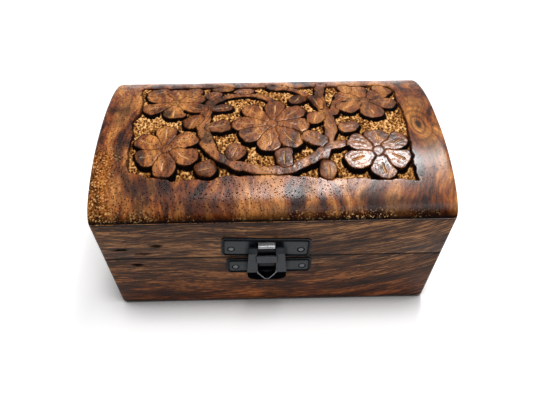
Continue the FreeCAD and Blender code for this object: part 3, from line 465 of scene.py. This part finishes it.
def enamel_material(name, metal, dust_and_sheen=1.0, lip=0.0):
    """Pressed steel in black stoved enamel: gloss, slight orange peel, dusty clouds; hollows, downward faces
    and the part below the lip are painted black and dull as shade.
    """
    material, tree = new_material(name)
    given = add(tree, "ShaderNodeTexCoord")
    place = given["Object"]
    rub = mottled(tree, place, (2.5, 2.5, 2.5), 4.0, 0.65)
    peel = mottled(tree, place, (0.45, 0.45, 0.45), 1.0)
    hollow = add(tree, "ShaderNodeAmbientOcclusion", {"Distance": 3 * MM}, samples=8)["AO"]
    height, facing = (
        add(tree, "ShaderNodeSeparateXYZ", (vector,))["Z"] for vector in (place, given["Normal"]))
    # How lit a face is, painted: dark in hollows, on downward faces and below the lip, where dust, sheen and
    # gloss give way to painted shade
    lit = 1.0
    for span in ((hollow, 0.62, 0.98), (facing, -0.4, -0.14), (height, lip - 0.3 * MM, lip)):
        share = add(tree, "ShaderNodeMapRange", span)["Result"]
        lit = add(tree, "ShaderNodeMath", (share, lit), operation="MULTIPLY")["Value"]
    cloudy, roughness, gloss = (add(tree, "ShaderNodeMapRange", span)["Result"] for span in (
        (rub, 0.35, 0.65, 0.35 * dust_and_sheen, dust_and_sheen), (rub, 0.3, 0.7, 0.22, 0.42),
        (lit, 0, 1, 0.0, 0.1 + 0.22 * dust_and_sheen)))
    lit_dust_and_sheen = add(tree, "ShaderNodeMath", (lit, cloudy), operation="MULTIPLY")["Value"]
    base = add(tree, "ShaderNodeMix", {0: lit_dust_and_sheen, 6: metal.enamel, 7: metal.dust_and_sheen}, data_type="RGBA")[2]
    bump = add(tree, "ShaderNodeBump", {"Height": peel, "Strength": 0.15, "Distance": 0.08 * MM})
    finish_material(tree, {
        "Base Color": base, "Normal": bump["Normal"], "Roughness": roughness, "Specular IOR Level": gloss})
    return material


def worn_material(name, metal, shine):
    """Steel with its enamel rubbed off, from dull grey to bright by its shine, finely scratched."""
    material, tree = new_material(name)
    place = add(tree, "ShaderNodeTexCoord")["Object"]
    scratches = mottled(tree, place, (4, 0.3, 0.3), 3.0)
    bright, roughness = (add(tree, "ShaderNodeMapRange", (scratches, *span))["Result"] for span in (
        (0.3, 0.6, 0.4 * shine, shine), (0.3, 0.7, 0.3, 0.45)))
    base = add(tree, "ShaderNodeMix", {0: bright, 6: metal.dust_and_sheen, 7: metal.bare}, data_type="RGBA")[2]
    finish_material(tree, {"Base Color": base, "Metallic": 0.7, "Roughness": roughness})
    return material


def settle(piece, body, slot, *nodes):
    """Tie a finished piece to its body, in place of CAD nodes; its slot is not used."""
    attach(piece, body)
    if nodes:
        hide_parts(*nodes)


def placed(mesh, material):
    """A new object at the origin that shows a mesh in one material."""
    mesh.materials.clear()
    mesh.materials.append(material)
    piece = bpy.data.objects.new(mesh.name, mesh)
    bpy.context.scene.collection.objects.link(piece)
    return piece


def mesh_piece(name, verts, faces, material):
    """A smooth-shaded object from its points and faces."""
    mesh = bpy.data.meshes.new(name)
    mesh.from_pydata([tuple(v) for v in verts], [], faces)
    mesh.validate()
    mesh.shade_smooth()
    return placed(mesh, material)


def softened(node, wear, material, crease):
    """A copy of a CAD node with its sharp edges rounded, flat between bends sharper than the crease."""
    shape = bmesh.new()
    shape.from_mesh(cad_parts[node].data)
    bmesh.ops.remove_doubles(shape, verts=shape.verts, dist=0.002 * MM)
    bmesh.ops.dissolve_limit(shape, angle_limit=math.radians(2), verts=shape.verts, edges=shape.edges)
    sharp = [edge for edge in shape.edges if edge.is_manifold and edge.calc_face_angle() > math.radians(35)]
    bmesh.ops.bevel(shape, geom=sharp, offset=wear, offset_type="OFFSET", segments=2, profile=0.5,
                    affect="EDGES", clamp_overlap=True)
    mesh = bpy.data.meshes.new(f"{node}_finished")
    shape.to_mesh(mesh)
    shape.free()
    mesh.shade_smooth()
    mesh.set_sharp_from_angle(angle=crease)
    return placed(mesh, material)


def lumps(x, y, size, rng):
    """Smooth random values from -1 to 1 on a square lattice of one size."""
    u = (x - x.min()) / size
    v = (y - y.min()) / size
    lattice = rng.uniform(-1, 1, (int(u.max()) + 2, int(v.max()) + 2))
    i, j = u.astype(int), v.astype(int)
    s, t = u - i, v - j
    s, t = s * s * (3 - 2 * s), t * t * (3 - 2 * t)
    low = lattice[i, j] * (1 - s) + lattice[i + 1, j] * s
    high = lattice[i, j + 1] * (1 - s) + lattice[i + 1, j + 1] * s
    return low * (1 - t) + high * t


def punch_marks(x, y, size, rng):
    """Distance to the nearest of scattered marks, in marks' sizes."""
    u = (x - x.min()) / size + 1
    v = (y - y.min()) / size + 1
    i, j = u.astype(int), v.astype(int)
    scatter = rng.uniform(0, 1, (i.max() + 3, j.max() + 3, 2))
    nearest = np.full_like(u, 9.0)
    for di in (-1, 0, 1):
        for dj in (-1, 0, 1):
            mark = scatter[i + di, j + dj]
            nearest = np.minimum(nearest, np.hypot(i + di + mark[..., 0] - u, j + dj + mark[..., 1] - v))
    return nearest


def turned(x, y, place):
    """Coordinates along and across a motif at its place."""
    c, s = math.cos(math.radians(place[2])), math.sin(math.radians(place[2]))
    return (x - place[0]) * c + (y - place[1]) * s, (y - place[1]) * c - (x - place[0]) * s


def inside_oval(along, across, size, width, fuller):
    """Millimetres inside a blunt egg-shaped outline whose outer end is the fuller one."""
    blunt = 2.3
    share = np.clip(along / (size / 2), -1, 1)
    u = np.abs(along / (size / 2)) ** blunt
    v = np.abs(across / (width / 2 * (1 + fuller * share))) ** blunt
    return (1 - (u + v) ** (1 / blunt)) * width / 2


def ridge(distance, width):
    """One on a line, falling off beside it."""
    return np.exp(-(distance / width) ** 2)


def teardrop(along, across, start, end, half):
    """One inside a slit that swells toward its outer end."""
    share = np.clip((along - start) / (end - start), 0, 1)
    return np.clip((half * np.sqrt(share) * (1 - share ** 4) - np.abs(across)) / 0.15 + 0.5, 0, 1) * (
        share > 0) * (share < 1)


def carve_flower(x, y, flower, carving, rng):
    """Millimetres inside a flower, its knife cuts and its slits."""
    *place, count, reach = flower
    u, v = turned(x, y, place)
    radius = np.hypot(u, v)
    step = math.tau / count
    around = np.arctan2(v, u) + step / 2
    petal = (around // step).astype(int) % count
    folded = around % step - step / 2
    tip = reach * rng.uniform(0.9, 1.07, count)[petal]
    width = carving.petal_width / MM * rng.uniform(0.88, 1.06, count)[petal]
    root = carving.petal_root / MM
    size = tip - root
    along = radius * np.cos(folded) - root - size / 2
    across = radius * np.sin(folded + rng.uniform(-0.08, 0.08, count)[petal])
    inside = np.maximum(inside_oval(along, across, size, width, 0.28), 0.55 * reach - radius)
    heart = 2.5
    seam = radius * np.sin(step / 2 - np.abs(folded))
    cuts = 0.8 * ridge(seam, CUT) * (radius > heart + 0.1) * np.clip(inside / 0.4, 0, 1)
    cuts = np.maximum(cuts, 0.6 * ridge(radius - heart, CUT))
    veins = ridge(lumps(radius, 4 * radius * folded, 5.0, rng), 0.2)
    cuts = np.maximum(cuts, veins * np.clip(radius / 4 - 0.7, 0, 0.22))
    slits = teardrop(along, across, -0.12 * reach, 0.26 * reach, 0.55)
    return inside, cuts, slits


def carve_leaf(x, y, leaf, *_):
    """Millimetres inside a leaf, its knife cuts (none) and its vein."""
    *place, size, width = leaf
    u, v = turned(x, y, place)
    vein = teardrop(u, v, -0.34 * size, 0.3 * size, 0.42)
    return inside_oval(u, v, size, width, 0.1), np.zeros_like(x), vein


def carve_vine(x, y, vine):
    """Millimetres inside an arc-shaped strip with round ends."""
    cx, cy, start, radius, sweep, width = vine
    reach = np.hypot(x - cx, y - cy)
    around = (np.degrees(np.arctan2(y - cy, x - cx)) - start) % 360
    beyond = np.where(around < sweep, 0, np.minimum(around - sweep, 360 - around))
    return width / 2 - np.hypot(reach - radius, np.radians(beyond) * radius)


def carve(x, y, carving):
    """Depth of the carving below the dome in millimetres, and its masks for the wood's colours."""
    rng = np.random.default_rng(carving.seed)
    wobble = carving.wobble / MM
    px, py = (axis + wobble * (lumps(x, y, 5.0, rng) + 0.5 * lumps(x, y, 2.0, rng)) for axis in (x, y))
    inside = np.max([carve_vine(px, py, vine) for vine in VINES], axis=0)
    cuts, slits, scorch = np.zeros_like(x), np.zeros_like(x), np.full_like(x, 0.4)
    forms = [(carve_flower, flower, (0.05, 0.2)) for flower in FLOWERS]
    forms += [(carve_leaf, leaf, (0.25, 0.75)) for leaf in LEAVES]
    for shape, form, scorches in forms:
        part, lines, slit = shape(px, py, form, carving, rng)
        over = part > 0
        cuts = np.where(over, lines, np.maximum(cuts, ridge(part, CUT) * (inside > 0)))
        slits = np.where(over, slit, slits)
        scorch = np.where(over, rng.uniform(*scorches), scorch)
        inside = np.maximum(inside, part)
    motif = inside

    # Panel that the motifs stand in
    front = np.interp(px, *zip(*PANEL_FRONT))
    half = carving.panel_half / MM
    panel = np.minimum.reduce([px + half, half - px, carving.panel_back / MM - py, py - front])
    panel = panel + 2 * wobble * lumps(x, y, 8.0, rng)
    near_panel = np.clip(panel / 1.5 + 1, 0, 1)
    overrun = 7
    cuts = np.maximum(cuts * (motif > 0), ridge(motif, 0.35) * (panel < 0.3)) * (panel > -overrun)

    # Walls and torn ground, then cuts, slits and knife marks in what stands
    inside = np.maximum(motif, -panel)
    within = np.maximum(inside, 0)
    wall = carving.wall / MM
    away = np.maximum(-inside - wall / 2, 0)
    sunk = np.clip(0.5 - inside / wall, 0, 1)
    sunk = sunk * sunk * (3 - 2 * sunk)
    raised = 1 - sunk
    pits = np.clip(1.2 - 2 * punch_marks(x, y / 1.4, carving.gouge / MM, rng), 0, 1)
    uneven = lumps(x, y, 4.0, rng)
    strings = lumps(x, y / 3, 0.6, rng)
    shallow = np.interp(y, *zip(*GROUND_DEPTHS)) * np.clip((half - np.abs(x)) / 10 + 0.6, 0.6, 1)
    torn = pits - 0.3 + 0.5 * uneven + 0.3 * strings
    depth = sunk * (carving.depth * shallow + carving.roughness * torn)
    cuts, slits = cuts * raised, slits * raised
    depth += cuts * carving.groove + slits * carving.slit
    depth += raised * near_panel * carving.pillow * np.exp(-within / 0.7)
    depth += raised * near_panel * carving.knife * (lumps(x, y, 2.6, rng) + lumps(x, y, 1.1, rng))

    # Burnt walls and edges, with walls and cuts also painted dark as shade, flecks of the ground
    edge = 0.25 + 0.75 * np.exp(-within / 1.6)
    scorch = scorch * (motif > 0) * near_panel * edge * np.clip(0.9 + 0.7 * uneven, 0, 1)
    rim = 0.85 * near_panel * np.exp(-within / CUT)
    # Walls, cuts and the ground at the walls' foot are charred and also painted dark as shade
    side = np.clip(2.3 - 1.8 * inside / wall, 0, 1) * (away < 0.4) * np.where(-panel > motif, 0.7, 1.0)
    # Flecks of the ground fade to dark at the walls' foot as painted shade
    flecks = np.clip(0.7 - 0.8 * pits + 0.3 * strings + 0.25 * uneven, 0, 1)
    masks = {
        "ground": np.clip(away / 0.25 - 0.6, 0, 1),
        "burn_and_shade": np.clip(np.maximum.reduce([side, rim, cuts, scorch]), 0, 1),
        "slit": slits * 0.6,
        "fleck_and_shade": flecks * np.clip(away / 0.4 + 0.3, 0, 1),
        "rubbed": raised * np.clip(motif / 0.8, 0, 1) * np.clip(panel / 2 + 1, 0, 1),
    }
    return depth / MM, masks


class BOX_OT_case(bpy.types.Operator):
    """Boards of the case and rails of the lid, their grain along each board"""
    bl_idname = "carved_box.case"
    bl_label = "Case and Rails"

    def execute(self, context):
        wood = context.scene.carved_box.wood
        crease = math.radians(40)
        for boards, name, turn in ((LONG_BOARDS, "waxed_hardwood_long", 0),
                                   (END_BOARDS, "waxed_hardwood_end", math.radians(90))):
            material = case_material(name, wood, turn)
            for body, nodes in boards.items():
                for node in nodes:
                    piece = softened(node, wood.edge_wear, material, crease)
                    settle(piece, body, "case_wood", node)
        return {"FINISHED"}


class BOX_OT_dome(bpy.types.Operator):
    """Domed top of the lid with its carved panel"""
    bl_idname = "carved_box.dome"
    bl_label = "Carved Dome"

    def execute(self, context):
        settings = context.scene.carved_box
        carving = settings.carving
        half_x, half_y, crown = DOME_HIGH
        foot = DOME_LOW[2]
        rise = crown - foot
        step, end_round = carving.mesh_step / MM, carving.end_round / MM
        margin = 1.5
        fine_x = carving.panel_half / MM + margin
        fine_front, fine_back = -40.0, carving.panel_back / MM + margin

        # Columns: fine over the panel, coarser beside it, bent over the ends
        inner = np.arange(-fine_x, fine_x + step / 2, step)
        flat = np.linspace(fine_x + margin, half_x - end_round, 9)
        bends = np.radians((18, 36, 54, 72, 90))
        ends = half_x - end_round * (1 - np.sin(bends))
        xs = np.concatenate((-ends[::-1], -flat[::-1], inner, flat, ends))
        sag = end_round * (1 - np.cos(bends))
        sag = np.concatenate((sag[::-1], np.zeros(len(xs) - 2 * len(sag)), sag))

        # Rows: fine over the panel, then by even angles down to the lower edges
        middle = np.arange(fine_front, fine_back + step / 2, step)
        front = -half_y * np.sin(np.linspace(math.pi / 2, math.asin(-fine_front / half_y), 16)[:-1])
        back = half_y * np.sin(np.linspace(math.asin(middle[-1] / half_y), math.pi / 2, 20)[1:])
        x, y = np.meshgrid(xs, np.concatenate((front, middle, back)), indexing="ij")

        depth, masks = carve(x, y, carving)
        rng = np.random.default_rng(carving.seed + 1)
        arch = np.sqrt(np.maximum(1 - (y / half_y) ** 2, 0))
        depth = depth + carving.sway / MM * lumps(x, y, 17.0, rng) * arch
        normal_y, normal_z = y / half_y ** 2, arch / rise
        size = np.hypot(normal_y, normal_z)
        inset = np.broadcast_to(sag[:, None], x.shape)
        z = np.maximum(foot + rise * arch - depth - inset * normal_z / size, foot)
        y = y - inset * normal_y / size

        columns, rows = x.shape
        verts = np.stack((x, y, z), -1).reshape(-1, 3) * MM
        at = np.arange(columns * rows).reshape(columns, rows)
        faces = np.stack((at[:-1, :-1], at[1:, :-1], at[1:, 1:], at[:-1, 1:]), -1).reshape(-1, 4).tolist()
        faces.append(at[0].tolist())
        faces.append(at[-1, ::-1].tolist())
        faces.append(np.concatenate((at[::-1, 0], at[:, -1])).tolist())
        piece = mesh_piece("carved_dome", verts, faces, dome_material("burnt_lacquered_wood", settings.wood))
        for name, mask in masks.items():
            attribute = piece.data.attributes.new(name, "FLOAT", "POINT")
            attribute.data.foreach_set("value", mask.reshape(-1).astype(np.float32))
        settle(piece, "lid", "carved_wood", "lid_dome_top")
        return {"FINISHED"}


def nail_places(node, metal):
    """Seats of a node's two nail heads and the way they face, from the frame's own nails."""
    verts = np.array([vert.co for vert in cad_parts[node].data.vertices])
    side = -1 if verts[:, 1].mean() < 0 else 1
    out = np.array((0, side * math.cos(metal.wall_lean), -math.sin(metal.wall_lean)))
    places = []
    for half in (verts[:, 0] < verts[:, 0].mean(), verts[:, 0] > verts[:, 0].mean()):
        nail = verts[half]
        reach = nail @ out
        crown = nail[reach > reach.max() - 0.1 * MM]
        places.append((crown.min(0) + crown.max(0)) / 2 - out * metal.nail_seat)
    return places, out


def nail_tree(material):
    """Node group that sets a round nail head on each point, facing the way the point says."""
    tree = bpy.data.node_groups.new("nail_heads", "GeometryNodeTree")
    for name, direction, kind in (("Geometry", "INPUT", "Geometry"), ("Radius", "INPUT", "Float"),
                                  ("Flatness", "INPUT", "Float"), ("Geometry", "OUTPUT", "Geometry")):
        tree.interface.new_socket(name, in_out=direction, socket_type=f"NodeSocket{kind}")
    given = add(tree, "NodeGroupInput")
    ball = add(tree, "GeometryNodeMeshUVSphere", {"Segments": 20, "Rings": 10, "Radius": given["Radius"]})
    squash = add(tree, "ShaderNodeCombineXYZ", {"X": 1.0, "Y": 1.0, "Z": given["Flatness"]})
    head = add(tree, "GeometryNodeTransform", {"Geometry": ball["Mesh"], "Scale": squash["Vector"]})
    turn = add(tree, "GeometryNodeInputNamedAttribute", {"Name": "turn"}, data_type="FLOAT_VECTOR")
    turn = add(tree, "FunctionNodeEulerToRotation", {"Euler": turn["Attribute"]})
    heads = add(tree, "GeometryNodeInstanceOnPoints", {
        "Points": given["Geometry"], "Instance": head["Geometry"], "Rotation": turn["Rotation"]})
    real = add(tree, "GeometryNodeRealizeInstances", {"Geometry": heads["Instances"]})
    smooth = add(tree, "GeometryNodeSetShadeSmooth", {"Geometry": real["Geometry"]})
    shown = add(tree, "GeometryNodeSetMaterial", {"Geometry": smooth["Geometry"], "Material": material})
    add(tree, "NodeGroupOutput", {"Geometry": shown["Geometry"]})
    return tree


def bead(name, path, radius, closed, material):
    """A round bead swept along a path of points."""
    path = np.array(path)
    ahead, behind = np.roll(path, -1, 0), np.roll(path, 1, 0)
    if not closed:
        ahead[-1], behind[0] = path[-1], path[0]
    along = ahead - behind
    along /= np.linalg.norm(along, axis=1)[:, None]
    across = np.cross(along, (0, 1, 0))
    across /= np.linalg.norm(across, axis=1)[:, None]
    upward = np.cross(across, along)
    sides = 8
    turns = np.arange(sides) * math.tau / sides
    rings = (path[:, None] + radius * (np.cos(turns)[:, None] * across[:, None]
                                       + np.sin(turns)[:, None] * upward[:, None]))
    at = np.arange(len(path) * sides).reshape(len(path), sides)
    following = np.roll(at, -1, 0) if closed else at[1:]
    here = at if closed else at[:-1]
    faces = np.stack((here, np.roll(here, -1, 1), np.roll(following, -1, 1), following), -1)
    faces = faces.reshape(-1, 4).tolist()
    if not closed:
        faces += [at[0, ::-1].tolist(), at[-1].tolist()]
    return mesh_piece(name, rings.reshape(-1, 3), faces, material)


def round_frame(side, below, above, corner):
    """Points of an upright frame with round corners, about an origin."""
    points = []
    for cx, cz, start in ((side, above, 0), (-side, above, 90), (-side, below, 180), (side, below, 270)):
        for turn in np.radians(np.linspace(start, start + 90, 7)):
            points.append((cx - math.copysign(corner, cx) + corner * math.cos(turn),
                           cz - math.copysign(corner, cz) + corner * math.sin(turn)))
    return points


class BOX_OT_metal(bpy.types.Operator):
    """Enamelled sheet metal, pins, spring and pressed rims of the clasp and the hinges"""
    bl_idname = "carved_box.metal"
    bl_label = "Clasp and Hinges"

    def execute(self, context):
        metal = context.scene.carved_box.metal
        enamel = enamel_material("black_stoved_enamel", metal)
        # Undusted black enamel, painted as shade on the pins and spring in the lever's window, on the rim
        # beads and on the tongue's front
        shade_black_enamel = enamel_material("black_enamel_painted_shade", metal, dust_and_sheen=0.05)
        # Bare steel for the tongue's upward faces, partly wear and partly painted highlight
        worn_and_highlight = worn_material("bare_steel_worn_and_highlight", metal, shine=0.75)
        rubbed = worn_material("rubbed_edge_steel_and_glint", metal, shine=0.32)
        lip = self.on_front(0, metal.lip_top, 0, metal)[2]
        # Lever enamel painted black below its lip's top as shade
        lip_shade_enamel = enamel_material("black_enamel_lip_painted_shade", metal, lip=lip)
        crease = math.radians(16)
        for body, nodes in SHEET_METAL.items():
            for node in nodes:
                finish = lip_shade_enamel if body == "lever" else enamel
                piece = softened(node, metal.edge_wear, finish, crease)
                if node == "clasp_hook_plate":
                    self.tongue_highlight_and_shade(piece, worn_and_highlight, shade_black_enamel, metal)
                elif node == "clasp_lever":
                    self.round_lip(piece, lip, metal.lip_round)
                settle(piece, body, "black_steel", node)
        for node in PINS:
            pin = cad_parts[node]
            pin.data.materials.clear()
            pin.data.materials.append(shade_black_enamel)

        # Rims round the plates: millimetres beyond the nails sideways, below and above them
        proud = 0.4 * MM
        for name, body, node, side, below, above in (
                ("hook_plate_rim", "lid", "clasp_hook_nails", 3.3, -3.9, 5.9),
                ("base_plate_rim", "box", "clasp_base_nails", 3.2, -3.4, 4.3)):
            (left, right), out = nail_places(node, metal)
            along = (right - left) / np.linalg.norm(right - left)
            up = np.cross(along, -out)
            reach = np.linalg.norm(right - left) / 2 / MM + side
            face = (left + right) / 2 + out * proud
            outline = round_frame(reach, below, above, metal.rim_corner / MM)
            path = [face + along * px * MM + up * pz * MM for px, pz in outline]
            # Rim beads in the undusted black, painted as the shade line beside the pressed rim
            settle(bead(name, path, metal.rim_radius, True, shade_black_enamel), body, "black_steel")

        # Rim of the lever's V-ended window: millimetres sideways and up from the rim of the case
        middle = sum(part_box("clasp_lever"), Vector()).x / 2
        window = ((-4.0, -3.4), (-4.0, -4.8), (-2.4, -7.0), (-0.8, -9.2),
                  (0.8, -9.2), (2.4, -7.0), (4.0, -4.8), (4.0, -3.4))
        lever_face, radius = 5.2 * MM, 0.65 * metal.rim_radius
        path = [self.on_front(middle + x * MM, z * MM, lever_face, metal) for x, z in window]
        # The window's rim is lighter steel, partly rubbed wear and partly a painted glint
        settle(bead("lever_window_rim", path, radius, False, rubbed), "lever", "black_steel")
        return {"FINISHED"}

    @staticmethod
    def on_front(x, up, out, metal):
        """A point over the leaning front wall, up from the rim of the case and out from the wood."""
        low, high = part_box("body_front_board")
        sine, cosine = math.sin(metal.wall_lean), math.cos(metal.wall_lean)
        return x, low.y - up * sine - out * cosine, high.z + up * cosine - out * sine

    def tongue_highlight_and_shade(self, piece, worn_and_highlight, shade_black_enamel, metal):
        """Bare steel on the tongue's upward faces, partly wear and partly painted highlight; undusted black
        enamel on its front, painted as shade.
        """
        piece.data.materials.append(worn_and_highlight)
        piece.data.materials.append(shade_black_enamel)
        plate_up, plate_out = 8 * MM, 1.3 * MM
        plate = self.on_front(0, plate_up, plate_out, metal)
        for face in piece.data.polygons:
            if face.center.y < plate[1] - math.tan(metal.wall_lean) * (face.center.z - plate[2]):
                face.material_index = 1 if face.normal.z > 0.4 else 2

    @staticmethod
    def round_lip(piece, top, reach):
        """Sides of the lever's lip drawn in below its top, along a quarter ellipse."""
        shape = bmesh.new()
        shape.from_mesh(piece.data)
        everything = shape.verts[:] + shape.edges[:] + shape.faces[:]
        bmesh.ops.bisect_plane(shape, geom=everything, plane_co=(0, 0, top), plane_no=(0, 0, 1))
        lip = [vert for vert in shape.verts if vert.co.z < top]
        low, left, right = min(v.co.z for v in lip), min(v.co.x for v in lip), max(v.co.x for v in lip)
        for vert in lip:
            share = (top - vert.co.z) / (top - low)
            inset = reach * (1 - math.sqrt(max(1 - share ** 2, 0)))
            vert.co.x = min(max(vert.co.x, left + inset), right - inset)
        shape.to_mesh(piece.data)
        shape.free()


class BOX_OT_nails(bpy.types.Operator):
    """Round heads of the nails that hold the clasp and the hinges"""
    bl_idname = "carved_box.nails"
    bl_label = "Nail Heads"

    def execute(self, context):
        metal = context.scene.carved_box.metal
        steel = worn_material("rubbed_nail_steel", metal, shine=0.22)
        tree = nail_tree(steel)
        sockets = {item.name: item.identifier for item in tree.interface.items_tree if item.in_out == "INPUT"}
        for body, nodes in NAILS.items():
            spots, turns = [], []
            for node in nodes:
                places, out = nail_places(node, metal)
                spots += [place - np.array((0, 0, metal.nail_drop)) for place in places]
                turns += [tuple(Vector(out).to_track_quat("Z", "Y").to_euler())] * len(places)
            piece = mesh_piece(f"{body}_nail_heads", spots, [], steel)
            turn = piece.data.attributes.new("turn", "FLOAT_VECTOR", "POINT")
            turn.data.foreach_set("vector", np.array(turns, np.float32).reshape(-1))
            modifier = piece.modifiers.new("nail_heads", "NODES")
            modifier.node_group = tree
            modifier[sockets["Radius"]] = metal.nail_radius
            modifier[sockets["Flatness"]] = metal.nail_flatness
            evaluated = piece.evaluated_get(context.evaluated_depsgraph_get())
            mesh = bpy.data.meshes.new_from_object(evaluated)
            piece.modifiers.clear()
            piece.data = mesh
            settle(piece, body, "black_steel", *nodes)
        return {"FINISHED"}


class BOX_OT_stage(bpy.types.Operator):
    """Pale floor, soft lights and the camera"""
    bl_idname = "carved_box.stage"
    bl_label = "Stage"

    def execute(self, context):
        scene = context.scene
        stage = scene.carved_box.stage
        # Matt white card, pure white to the eye away from the box; near the box its colour and glow are
        # darkened by occlusion, a painted contact shadow at its foot
        material, tree = new_material("white_card")
        rays = add(tree, "ShaderNodeLightPath")
        seen = 0.0
        for kind in ("Is Camera Ray", "Is Glossy Ray", "Is Transmission Ray"):
            seen = add(tree, "ShaderNodeMath", (rays[kind], seen), operation="MAXIMUM")["Value"]
        open_floor = add(tree, "ShaderNodeAmbientOcclusion", {"Distance": 20 * MM})["AO"]
        tone = add(tree, "ShaderNodeValToRGB", (open_floor,), stops=(
            (0.3, linear("#6A6662")), (0.55, linear("#F2F2F2"))))
        paper_painted_shadow = add(tree, "ShaderNodeBsdfDiffuse", {"Color": tone["Color"]})
        white = add(tree, "ShaderNodeMapRange", (open_floor, 0.5, 0.9, 0.0, 0.46))["Result"]
        white = add(tree, "ShaderNodeMath", (seen, white), operation="MULTIPLY")["Value"]
        glow = add(tree, "ShaderNodeEmission", {"Strength": white})
        both = add(tree, "ShaderNodeAddShader", (paper_painted_shadow["BSDF"], glow["Emission"]))
        add(tree, "ShaderNodeOutputMaterial", {"Surface": both["Shader"]})
        reach = stage.floor_reach
        floor = mesh_piece("floor", [(x, y, 0) for x, y in (
            (-reach, -reach), (reach, -reach), (reach, reach), (-reach, reach))], [(0, 1, 2, 3)], material)

        world = bpy.data.worlds.new("studio")
        scene.world = world
        world.use_nodes = True
        tree = world.node_tree
        tree.nodes.clear()
        sky = add(tree, "ShaderNodeBackground", {"Color": (1, 1, 1, 1), "Strength": stage.sky})
        add(tree, "ShaderNodeOutputWorld", {"Surface": sky["Background"]})

        for name, place, size, power in (
                ("window", (0.23, 0.37, 0.85), (0.18, 0.15), 4.2),
                ("overhead_softbox", (0.1, -0.035, 0.85), (0.44, 0.1), 2.4),
                ("front_fill", (0.3, -0.8, 0.5), (0.6, 0.6), 1.1)):
            lamp = bpy.data.lights.new(name, "AREA")
            lamp.shape = "RECTANGLE"
            lamp.size, lamp.size_y = size
            lamp.energy = power
            light = bpy.data.objects.new(name, lamp)
            aim = (Vector((0, 0, stage.lamp_aim)) - Vector(place)).to_track_quat("-Z", "Y")
            light.matrix_world = Matrix.Translation(place) @ aim.to_matrix().to_4x4()
            scene.collection.objects.link(light)

        sin_e, cos_e = math.sin(stage.elevation), math.cos(stage.elevation)
        forward = Vector((math.sin(stage.azimuth) * cos_e, math.cos(stage.azimuth) * cos_e, -sin_e))
        right = Vector((math.cos(stage.azimuth), -math.sin(stage.azimuth), 0))
        up = right.cross(forward)
        sin_r, cos_r = math.sin(stage.roll), math.cos(stage.roll)
        right, up = right * cos_r + up * sin_r, up * cos_r - right * sin_r
        target = Vector((0, 0, stage.aim_height)) + right * stage.aim_right + up * stage.aim_up
        lens = bpy.data.cameras.new("camera")
        lens.sensor_fit = "HORIZONTAL"
        lens.sensor_width = 36.0
        lens.lens = stage.focal_pixels / PICTURE_WIDTH * lens.sensor_width
        lens.clip_start, lens.clip_end = 0.01, 20.0
        camera = bpy.data.objects.new("camera", lens)
        axes = Matrix((right, up, -forward)).transposed().to_4x4()
        camera.matrix_world = Matrix.Translation(target - forward * stage.distance) @ axes
        scene.collection.objects.link(camera)
        scene.camera = camera
        scene.view_settings.view_transform = "Standard"
        return {"FINISHED"}


OPERATORS = (BOX_OT_stage, BOX_OT_case, BOX_OT_dome, BOX_OT_metal, BOX_OT_nails)


class BOX_PT_panel(bpy.types.Panel):
    """Steps of the box in the order in which they run"""
    bl_idname = "BOX_PT_panel"
    bl_label = "Carved Box"
    bl_space_type = "VIEW_3D"
    bl_region_type = "UI"
    bl_category = "Carved Box"

    def draw(self, context):
        for operator in OPERATORS:
            self.layout.operator(operator.bl_idname)


CLASSES = (CarvingSettings, WoodSettings, MetalSettings, StageSettings, CarvedBoxSettings) + OPERATORS + (
    BOX_PT_panel,)


def register():
    for cls in CLASSES:
        bpy.utils.register_class(cls)
    bpy.types.Scene.carved_box = PointerProperty(type=CarvedBoxSettings)


def unregister():
    del bpy.types.Scene.carved_box
    for cls in reversed(CLASSES):
        bpy.utils.unregister_class(cls)


def main():
    register()
    for operator in OPERATORS:
        group, name = operator.bl_idname.split(".")
        getattr(getattr(bpy.ops, group), name)()


if __name__ == "__main__":
    main()
